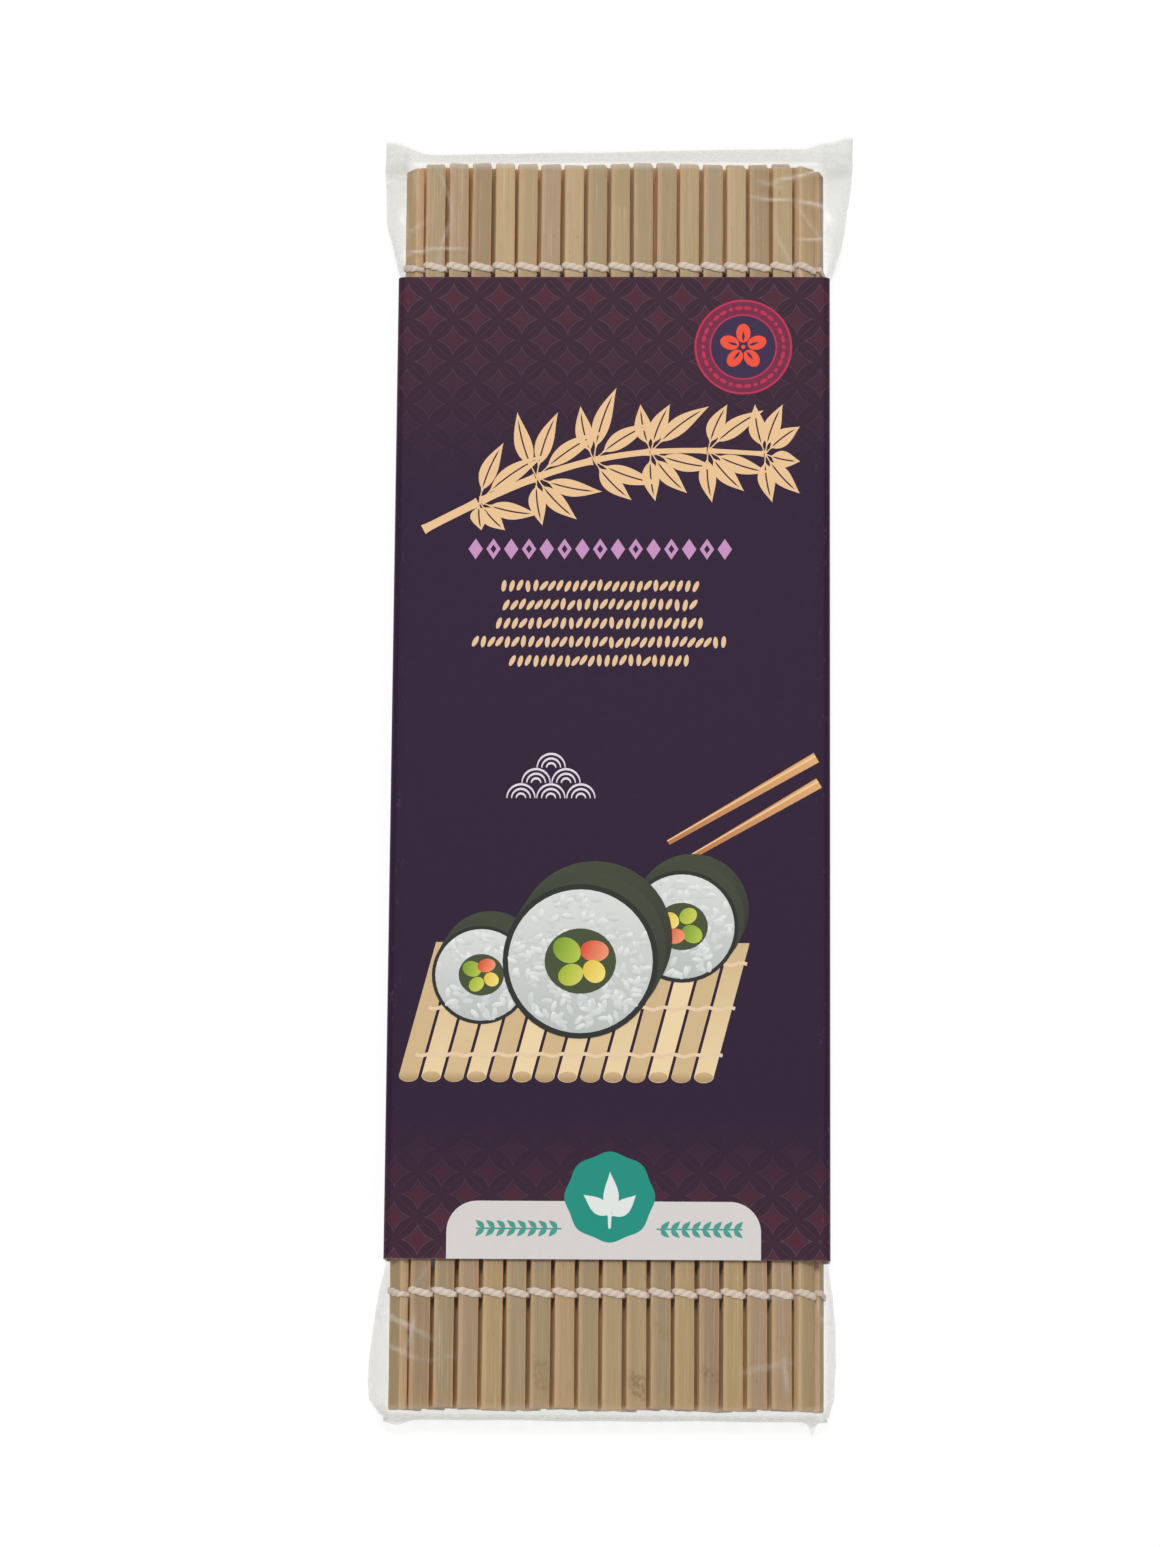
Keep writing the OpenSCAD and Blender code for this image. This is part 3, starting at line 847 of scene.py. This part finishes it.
def card_loop(inset):
    """Points round the sleeve's section from the middle of the front to the right, and the part of each."""
    half, low, high, r = SLEEVE_HALF - inset, inset, SLEEVE_H - inset, FOLD_R - inset

    def fold(start, side, z):
        return [(side * (half - r) + r * math.cos(a), z + r * math.sin(a), "fold")
                for a in np.radians(np.linspace(start, start - 90, ARC_STEPS + 1))]

    # Inside, the glued overlap stands up. Outside, there is the seam
    wide, lift = (GLUE_HALF, CARD_T) if inset else (SEAM_HALF, CARD_T * 0.9)
    right, left = GLUE_MIDDLE + wide, GLUE_MIDDLE - wide
    return ([(x, high, "front") for x in np.linspace(0, half - r, 18, endpoint=False)]
            + fold(90, 1, high - r) + [(half, z, "side") for z in np.linspace(high - r, low + r, 5)[1:-1]]
            + fold(0, 1, low + r) + [(x, low, "back") for x in np.linspace(half - r, right, 8)[1:-1]]
            + [(x, low + up, "seam") for x, up in ((right, 0), (right, lift), (left, lift), (left, 0))]
            + [(x, low, "back") for x in np.linspace(left, -half + r, 14)[1:-1]]
            + fold(-90, -1, low + r) + [(-half, z, "side") for z in np.linspace(low + r, high - r, 5)[1:-1]]
            + fold(180, -1, high - r)
            + [(x, high, "front") for x in np.linspace(-half + r, 0, 18, endpoint=False)[1:]])


def card_points(loop, y):
    points = np.array([[(x, place, z) for x, z, _ in loop] for place in y])
    front = np.array([part == "front" for *_, part in loop])
    points[..., 2] += np.where(front, front_height(points[..., 0], points[..., 1]) - SLEEVE_H, 0)
    return points.reshape(-1, 3)


def make_sleeve(materials):
    y = [SLEEVE_BOTTOM, SLEEVE_BOTTOM + 0.4, *np.linspace(SLEEVE_BOTTOM + 4, SLEEVE_TOP - 4, 52),
         SLEEVE_TOP - 0.4, SLEEVE_TOP]
    outer, inner = card_loop(0), card_loop(CARD_T)
    n, rows = len(outer), len(y)
    j = np.arange(n)
    k = (j + 1) % n
    within = rows * n
    faces = grid_faces(rows, n)
    # The card is raw inside, at its cut ends and in the seam
    seam = np.array([part == "seam" for *_, part in outer])
    all_faces = [faces, faces[:, ::-1] + within]
    kinds = [np.tile(seam & seam[k], rows - 1), np.ones(len(faces) + 2 * n)]
    for row, flip in ((0, 1), (rows - 1, -1)):
        here, beside = row * n + j, row * n + k
        all_faces.append(np.stack([here, within + here, within + beside, beside], -1)[:, ::flip])
    # The way round the card from the middle of its front, below 0 to the left
    xz = np.array([(x, z) for x, z, _ in outer])
    run = np.concatenate([[0], np.cumsum(np.linalg.norm(np.diff(xz, axis=0), axis=1))])
    whole = run[-1] + np.linalg.norm(xz[0] - xz[-1])
    around = np.where(run > whole / 2 + 30, run - whole, run)
    fold = np.array([part == "fold" for *_, part in outer])
    attributes = {"around": np.tile(around, 2 * rows), "fold": np.tile(fold, 2 * rows)}
    new_piece("printed_sleeve", np.concatenate([card_points(outer, y), card_points(inner, y)]),
              np.concatenate(all_faces)[:, ::-1], materials, "sleeve", ["card_sleeve"], attributes,
              sharp=40, kinds=np.concatenate(kinds))


# Radius of the pattern's circles, and how much narrower they are across the sleeve
CIRCLE = 4.75
ACROSS_SHARE = 0.955


def print_material():
    g = new_material("printed_card")
    x, y, z = g.place()
    u, fold = g.attribute("around"), g.attribute("fold")
    v = SLEEVE_TOP - y

    def from_middle(shift):
        a, b = (g.math("WRAP", way + shift, CIRCLE, -CIRCLE) for way in (u * ACROSS_SHARE, v))
        return g.math("SQRT", a * a + b * b)

    # Interlocking circles: each point lies in one circle of either set, or in both, where the petals are
    first, second = from_middle(0.0), from_middle(CIRCLE)
    inside = g.least(CIRCLE - first, CIRCLE - second)
    outline = g.most(g.line(first - CIRCLE, 0.34, 0.12), g.line(second - CIRCLE, 0.34, 0.12))
    star = g.step(inside, -0.35, -0.75)
    heart = g.step(inside, -0.8, -1.5)
    rim = g.line(inside + 0.26, 0.2, 0.05)
    ring = g.line(g.least(first, second) - 1.15, 0.3, 0.1)
    vein = g.line(first - second, 0.24, 0.06) * g.step(inside, 0.5, 0.9)
    ends = g.most(g.step(v, 52.0, -6.0), g.step(v, 180.0, SLEEVE_LEN + 6.0))
    glow = g.most(g.step(v, 22.0, -4.0), g.step(v, SLEEVE_LEN - 30.0, SLEEVE_LEN + 4.0))
    mottle, grain = g.grain(0.9, 3.0, 0.6), g.grain(6.0, 2.0, 0.6)
    broken = g.step(grain, 0.3, 0.62) * 0.7 + 0.3
    tint = g.over(
        g.mix(ends, colour(42, 23, 48), colour(62, 33, 46)),
        (star * ends * broken * 0.45, (84, 46, 62)), (star * glow * broken * 0.55, (92, 36, 53)),
        (heart * glow * 0.5, (78, 22, 38)), (rim * ends * broken * 0.75, (100, 72, 88)),
        (ring * ends * broken * 0.35, (62, 32, 46)), (g.step(inside, 0.3, 0.6) * ends * 0.6, (44, 27, 42)),
        (vein * ends * broken * 0.6, (88, 62, 77)), (outline * ends * 0.55, (46, 30, 44)))
    tint = g.scaled(tint, 0.84 + mottle * 0.2 + grain * 0.12)
    # Wear along the folds and the cut ends
    rub = g.noise(x * 0.9, y * 0.35, z * 0.9, 5.0, 0.75)
    near_cut = g.most(g.step(v, 0.35, 0.05), g.step(v, SLEEVE_LEN - 0.35, SLEEVE_LEN - 0.05))
    wear = g.most(fold * g.step(rub, 0.58, 0.72), near_cut * g.step(rub, 0.4, 0.6))
    tint = g.mix(wear * 0.22, tint, colour(140, 122, 132))
    g.bump(mottle * 0.4 + grain * 0.6 + outline * ends * 0.15, 0.03)
    rough = 0.5 + (mottle - 0.5) * 0.12 + wear * 0.2
    return g.finish(Base_Color=tint, Roughness=rough, Specular_IOR_Level=0.09)


def raw_card_material():
    g = new_material("raw_card")
    x, y, z = g.place()
    pulp = g.grain(2.2, 4.0, 0.65)
    layers = g.noise(x * 0.6, y * 0.6, z * 14.0, 2.0, 0.5)
    tint = g.scaled(g.mix(pulp, colour(196, 192, 186), colour(224, 221, 215)), 0.9 + layers * 0.15)
    g.bump(pulp, 0.05)
    return g.finish(Base_Color=tint, Roughness=0.88, Specular_IOR_Level=0.2)


make_sleeve([print_material(), raw_card_material()])


# Ornament printed on the sleeve's front. Places are x from its middle and v down from its top edge.
# Each layer of ink lies a little above the last, and each shape above the one before it
INK_LIFT, INK_LAYER, INK_SHAPE = 0.02, 0.012, 0.0003
LONGEST_EDGE, SPLITS = 4.0, 5


def ring_points(cx, cv, rx, rv=None, turn=0.0, count=48, start=0.0, stop=math.tau):
    """Points of an ellipse, or of part of one."""
    rv = rx if rv is None else rv
    a = np.linspace(start, stop, count, endpoint=stop - start < math.tau - 1e-6)
    px, pv = rx * np.cos(a), rv * np.sin(a)
    c, s = math.cos(turn), math.sin(turn)
    return np.stack([cx + px * c - pv * s, cv + px * s + pv * c], -1)


def band(cx, cv, outer, inner):
    """Outlines of a flat ring."""
    return [ring_points(cx, cv, outer), ring_points(cx, cv, inner)[::-1]]


def stroke(path, widths):
    """The outline of a brush stroke along a path."""
    path = np.asarray(path, float)
    along = np.gradient(path, axis=0)
    along /= np.linalg.norm(along, axis=1)[:, None]
    widths = np.broadcast_to(widths, len(path))
    off = np.stack([-along[:, 1], along[:, 0]], -1) * (widths / 2)[:, None]
    return np.concatenate([path + off, (path - off)[::-1]])


def leaf(x, v, length, width, turn, bend=0.12, stalk=0.1, parting=0.0):
    """Outlines of a pointed bamboo leaf from x, v. A parting above 0 leaves its middle vein open."""
    t = np.linspace(0, 1, 20)
    blade = np.clip((t - stalk) / (1 - stalk), 0, 1)
    across = width / 2 * np.sin(math.pi * blade ** 0.72) ** 1.1 + 0.14 * (1 - t)
    middle = bend * length * (t - t * t) * 2
    c, s = math.cos(turn), math.sin(turn)

    def laid(off):
        off = middle + off
        return np.stack([x + t * length * c - off * s, v + t * length * s + off * c], -1)

    if not parting:
        return [np.concatenate([laid(across), laid(-across)[::-1][1:]])]
    open_half = parting / 2 * smooth_step(blade, 0.02, 0.12) * (1 - smooth_step(blade, 0.7, 0.9))
    return [np.concatenate([laid(across), laid(open_half - 0.02)[::-1][1:]]),
            np.concatenate([laid(0.02 - open_half), laid(-across)[::-1][1:]])]


class Print:
    """Flat shapes in ink, one piece on the card."""

    def __init__(self, name):
        self.name, self.points, self.faces, self.inks, self.shapes = name, [], [], [], 0

    def add(self, loops, ink, layer=0, fade=None, fade_to=None):
        """One shape from an outline, or an outline with holes. It may fade to another ink along fade."""
        loops = [loops] if isinstance(loops, np.ndarray) else loops
        loops = [[Vector((*p, 0)) for p in loop] for loop in loops]
        bm = bmesh.new()
        corners = [bm.verts.new(p) for loop in loops for p in loop]
        made = set()
        for triangle in tessellate_polygon(loops):
            if len(set(triangle)) == 3 and frozenset(triangle) not in made:
                bm.faces.new([corners[i] for i in triangle])
                made.add(frozenset(triangle))
        for _ in range(SPLITS):
            long = [e for e in bm.edges if e.calc_length() > LONGEST_EDGE]
            if not long:
                break
            bmesh.ops.subdivide_edges(bm, edges=long, cuts=1)
            bmesh.ops.triangulate(bm, faces=[f for f in bm.faces if len(f.verts) > 3])
        bm.normal_update()
        bmesh.ops.reverse_faces(bm, faces=[f for f in bm.faces if f.normal.z > 0])
        bm.verts.index_update()
        first = len(self.points)
        place = np.array([(p.co.x, p.co.y) for p in bm.verts])
        self.faces += [[first + p.index for p in f.verts] for f in bm.faces]
        bm.free()
        y = SLEEVE_TOP - place[:, 1]
        self.shapes += 1
        z = front_height(place[:, 0], y) + INK_LIFT + INK_LAYER * layer + INK_SHAPE * self.shapes
        self.points += np.stack([place[:, 0], y, z], -1).tolist()
        share = np.zeros(len(place))
        if fade is not None:
            along = place @ np.array(fade, float)
            share = (along - along.min()) / max(1e-6, along.max() - along.min())
        start, end = np.array(colour(*ink)), np.array(colour(*(fade_to or ink)))
        self.inks += (start * (1 - share)[:, None] + end * share[:, None]).tolist()

    def finish(self):
        new_piece(self.name, self.points, self.faces, [ink_material], "sleeve", (),
                  {"ink": np.array(self.inks)}, sharp=60)


def make_ink():
    g = new_material("printing_ink")
    dots, cloud = g.grain(5.0, 2.0, 0.6), g.grain(0.8, 2.0, 0.5)
    tint = g.scaled(g.attribute("ink", tinted=True), 0.92 + dots * 0.1 + cloud * 0.06)
    g.bump(dots, 0.02)
    return g.finish(Base_Color=tint, Roughness=0.46 + dots * 0.08, Specular_IOR_Level=0.13)


ink_material = make_ink()
PEACH, CREAM, LILAC = (232, 192, 145), (226, 190, 150), (196, 142, 190)
SEAL_RED, SEAL_DEEP, SEAL_MARK, AUBERGINE = (186, 40, 78), (112, 32, 62), (236, 78, 52), (48, 30, 66)


def print_seal():
    """A double ring of dots with a five-petalled blossom."""
    p = Print("print_blossom_seal")
    cx, cv, r, width, line = 28.2, 15.7, 10.6, 3.6, 0.45
    p.add(band(cx, cv, r, r - width), SEAL_DEEP)
    p.add(band(cx, cv, r, r - line), SEAL_RED, 1)
    p.add(band(cx, cv, r - width + 0.35, r - width), SEAL_RED, 1)
    p.add(ring_points(cx, cv, r - width), AUBERGINE)
    count, middle = 30, r - 1.85
    for i in range(count):
        a = math.tau * i / count
        p.add(ring_points(cx + middle * math.cos(a), cv + middle * math.sin(a), 0.85 if i % 3 else 0.45, 0.42,
                          a + math.pi / 2, 12), SEAL_RED, 1)
    for i in range(5):
        a = math.tau * i / 5 - math.pi / 2
        c, s = math.cos(a), math.sin(a)
        p.add(ring_points(cx + 3.1 * c, cv + 3.1 * s, 2.1, 1.55, a, 24), SEAL_MARK, 1)
        p.add(leaf(cx + 1.4 * c, cv + 1.4 * s, 2.2, 0.4, a, 0)[0], AUBERGINE, 2)
    p.add(ring_points(cx, cv, 0.8, count=20), AUBERGINE, 2)
    p.add(ring_points(cx, cv, 0.45, count=16), SEAL_MARK, 3)
    p.finish()


def print_branch():
    """A bamboo branch that crosses the sleeve."""
    p = Print("print_bamboo_branch")
    # The leaves stay within these lines: the top one is higher on the left
    right_edge, top_left, top_right, bottom = 40.5, 24, 28.5, 56.5

    def stem(t):
        """The branch's middle line, from its low left end."""
        t = np.asarray(t, float)
        return np.stack([-41 + 74 * t, 56.5 - 17 * t - 7 * np.sin(math.pi * t)], -1)

    draw = random.Random(12)
    joints = 6
    for i in range(joints):
        t = np.linspace(i / joints + 0.004, (i + 1) / joints - 0.004, 14)
        ends = np.abs(np.linspace(-1, 1, len(t))) ** 8
        p.add(stroke(stem(t), 1.75 - 0.15 * i + 0.45 * ends), PEACH)
    for i in range(1, joints + 1):
        x, v = stem(i / joints)
        for side in (-1, 1):
            for k in range(3 if (i + side) % 4 else 2):
                turn = math.radians(side * (26 + 34 * k) - 10 + draw.uniform(-4, 4))
                size = (17.5 - 1.6 * k) * draw.uniform(0.85, 1.08) * (1 if side < 0 else 0.8)
                room = right_edge - x if math.cos(turn) > 0.4 else 99
                size = min(size, max(6.0, room / max(0.3, math.cos(turn))))
                room = v - (top_left if x < 8 else top_right) if side < 0 else bottom - v
                if side < 0 or turn > 0.2:
                    size = min(size, max(5.0, room / max(0.3, abs(math.sin(turn)))))
                for half in leaf(x, v, size, 3.6, turn, 0.1 * side, 0.2, 0.36):
                    p.add(half, PEACH, 1)
    p.finish()


def print_rules():
    """A row of lilac diamonds, and five rows of rice grains."""
    def row_places(width, count):
        return [-2.5 + width * ((i + 0.5) / count - 0.5) for i in range(count)]

    p = Print("print_diamonds")
    cv, half_width, half_height = 60.6, 1.55, 2.3
    for i, x in enumerate(row_places(57.5, 15)):
        ways = np.array([(-half_width, 0), (0, -half_height), (half_width, 0), (0, half_height)])
        outline = ways + (x, cv)
        p.add([outline, (ways * 0.42 + (x, cv))[::-1]] if i % 2 else outline, LILAC)
    p.finish()
    p = Print("print_rice_grains")
    draw = random.Random(3)
    first, apart, pitch = 68.7, 4.1, 1.72
    for row, width in enumerate((43, 42, 45, 55, 39)):
        for x in row_places(width, round(width / pitch)):
            turn = math.radians(-70 + draw.uniform(-22, 22))
            v = first + apart * row + draw.uniform(-0.15, 0.15)
            p.add(ring_points(x, v, 1.3, 0.52, turn, 14), CREAM)
    p.finish()


STRAW, STRAW_LIGHT, STRAW_DARK, TWINE = (206, 178, 134), (234, 208, 164), (168, 136, 96), (228, 200, 166)
NORI, NORI_EDGE, RICE, RICE_SHADE = (36, 38, 34), (60, 66, 50), (216, 218, 214), (184, 188, 185)
RICE_LIGHT, RICE_DIM, CORE = (232, 234, 232), (198, 202, 200), (64, 74, 46)
# A roll's fillings: where round the core, turn, half length, half width, and the two inks they fade between
FILLINGS = ((0.04, 0.7, 0.36, 0.30, (152, 178, 46), (206, 204, 92)),
            (0.30, 0.2, 0.34, 0.42, (116, 150, 38), (176, 196, 74)),
            (0.56, 1.2, 0.40, 0.30, (212, 70, 44), (238, 150, 110)),
            (0.80, 2.0, 0.34, 0.30, (222, 190, 66), (238, 218, 120)))


def print_mat(p):
    """A little mat of slats in slanting view."""
    slats, top, bottom, lean = 14, 146.0, 174.5, 7.5
    first, step, half_width = -44.2, 4.8, 2.075
    for i in range(slats):
        middle = first + i * step + half_width
        left, right = middle - half_width, middle + half_width
        cap = ring_points(middle, bottom, half_width, 1.3, 0, 14, 0, math.pi)
        p.add(np.concatenate([cap, [(left + lean, top), (right + lean, top)]]),
              (STRAW, STRAW_LIGHT, STRAW)[(i * 2) % 3], 0, (0, 1), STRAW_LIGHT if i % 2 else STRAW)
        p.add(ring_points(middle, bottom + 0.1, half_width - 0.1, 1.1, 0, 14), STRAW_DARK, 1, (0, -1), STRAW)
    t = np.linspace(0, 1, 90)
    for v in (150.5, 160.0, 170.0):
        start = first + lean * (bottom - v) / (bottom - top)
        x = start + 2.3 + (slats * step - 2.3) * t
        p.add(stroke(np.stack([x, v + 0.28 * np.sin(t * math.tau * slats)], -1), 0.75), TWINE, 2)


def print_slice(p, cx, cv, r, layer, seed):
    """A slice of a filled rice roll, seen from its end and a little from above."""
    draw = random.Random(seed)
    thick = r * 0.3
    p.add(ring_points(cx + thick * 0.6, cv - thick, r), NORI_EDGE, layer, (0.2, 1), NORI)
    p.add(ring_points(cx + thick * 0.3, cv - thick / 2, r * 1.01), NORI, layer + 1, (0.5, -1), NORI_EDGE)
    p.add(ring_points(cx, cv, r), NORI, layer + 2)
    p.add(ring_points(cx, cv, r * 0.93), RICE_SHADE, layer + 3, (0, -1), RICE)
    for _ in range(int(r * r * 0.75)):
        a, share = draw.uniform(0, math.tau), 0.87 * math.sqrt(draw.uniform(0.14, 1))
        x, v = cx + r * share * math.cos(a), cv + r * share * math.sin(a)
        tone = draw.choice((RICE, RICE_LIGHT))
        p.add(ring_points(x, v, 1.25, 0.55, draw.uniform(0, math.pi), 10), tone, layer + 4, (0, 1), RICE_DIM)
    core = r * 0.46
    p.add(ring_points(cx, cv, core, core * 0.92, count=30), CORE, layer + 5)
    for share, turn, long, short, tone, to in FILLINGS:
        a = (share + draw.uniform(-0.03, 0.03)) * math.tau + seed
        x, v = cx + core * 0.5 * math.cos(a), cv + core * 0.46 * math.sin(a)
        p.add(ring_points(x, v, core * long, core * short, turn + seed, 20), tone, layer + 6, (1, 0.4), to)


def print_picture():
    """Three rolls on a mat, chopsticks, and wave scales."""
    p = Print("print_rolls_on_mat")
    print_mat(p)
    print_slice(p, 15.5, 142.5, 12.0, 3, 5)
    print_slice(p, -27.0, 153.0, 10.5, 3, 8)
    print_slice(p, -6.0, 150.0, 16.5, 10, 2)
    p.finish()
    p = Print("print_chopsticks")
    t = np.linspace(0, 1, 20)
    for x0, v0, x1, v1 in ((44.0, 106.0, 12.5, 124.5), (44.6, 111.5, 17.5, 127.5)):
        path = np.stack([x0 + (x1 - x0) * t, v0 + (v1 - v0) * t], -1)
        p.add(stroke(path, 2.3 - 1.2 * t), (176, 112, 66), 0, (1, 0), (222, 168, 112))
        p.add(stroke(path - (0.2, 0.35), 0.5 - 0.25 * t), (236, 196, 146), 1)
    p.finish()
    p = Print("print_wave_scales")
    for row in range(3):
        for i in range(3 - row):
            cx, cv = -19.0 + 6.4 * (i + row / 2), 115.0 - 3.3 * row
            for r in (3.0, 2.0, 1.0):
                arc = ring_points(cx, cv, r, r, 0, 30, math.pi, math.tau)
                p.add(stroke(arc, 0.2 + 0.28 * np.sin(np.linspace(0, math.pi, 30))), (224, 214, 226))
    p.finish()


PALE, TEAL, TEAL_LIGHT, LEAF_WHITE = (211, 206, 203), (20, 138, 122), (70, 150, 138), (222, 226, 222)


def print_tab():
    """A plain pale tab at the foot of the sleeve, with a teal roundel and two sprigs of leaves."""
    p = Print("print_pale_tab")
    left, right, top, bottom, r = -33.7, 32.4, 200.8, SLEEVE_LEN - 0.02, 6.5
    corner_l = ring_points(left + r, top + r, r, r, 0, 14, math.pi, 1.5 * math.pi)
    corner_r = ring_points(right - r, top + r, r, r, 0, 14, 1.5 * math.pi, math.tau)
    p.add(np.concatenate([corner_l, corner_r, [(right, bottom), (left, bottom)]]), PALE)
    p.finish()
    p = Print("print_teal_roundel")
    cx, cv, lobes = 0.6, 199.9, np.linspace(0, math.tau, 96, endpoint=False)
    reach = 9.3 * (1 + 0.028 * np.cos(8 * lobes))
    p.add(np.stack([cx + reach * np.cos(lobes), cv + reach * np.sin(lobes)], -1), TEAL, 1)
    for turn, size in ((-90, 9.5), (-140, 7.2), (-40, 7.2)):
        p.add(leaf(cx, cv + 4.2, size, 3.1, math.radians(turn), 0.06)[0], LEAF_WHITE, 2)
    p.add(stroke([(cx, cv + 2.4), (cx, cv + 5.2), (cx, cv + 6.6)], (0.9, 0.7, 0.5)), LEAF_WHITE, 2)
    p.finish()
    p = Print("print_teal_sprigs")
    v, half_length = 206.6, 9.0
    for middle, sign in ((-18.5, -1), (19.5, 1)):
        x = np.linspace(middle - half_length, middle + half_length, 24)
        p.add(stroke(np.stack([x, np.full(24, v)], -1), 0.35), TEAL_LIGHT, 1)
        for i in range(8):
            for up in (-1, 1):
                turn = math.radians(up * 42 + (180 if sign < 0 else 0))
                p.add(leaf(middle + sign * (-8.2 + 2.2 * i), v, 2.6, 0.95, turn, 0.1)[0], TEAL_LIGHT, 1)
    p.finish()


print_seal()
print_branch()
print_rules()
print_picture()
print_tab()
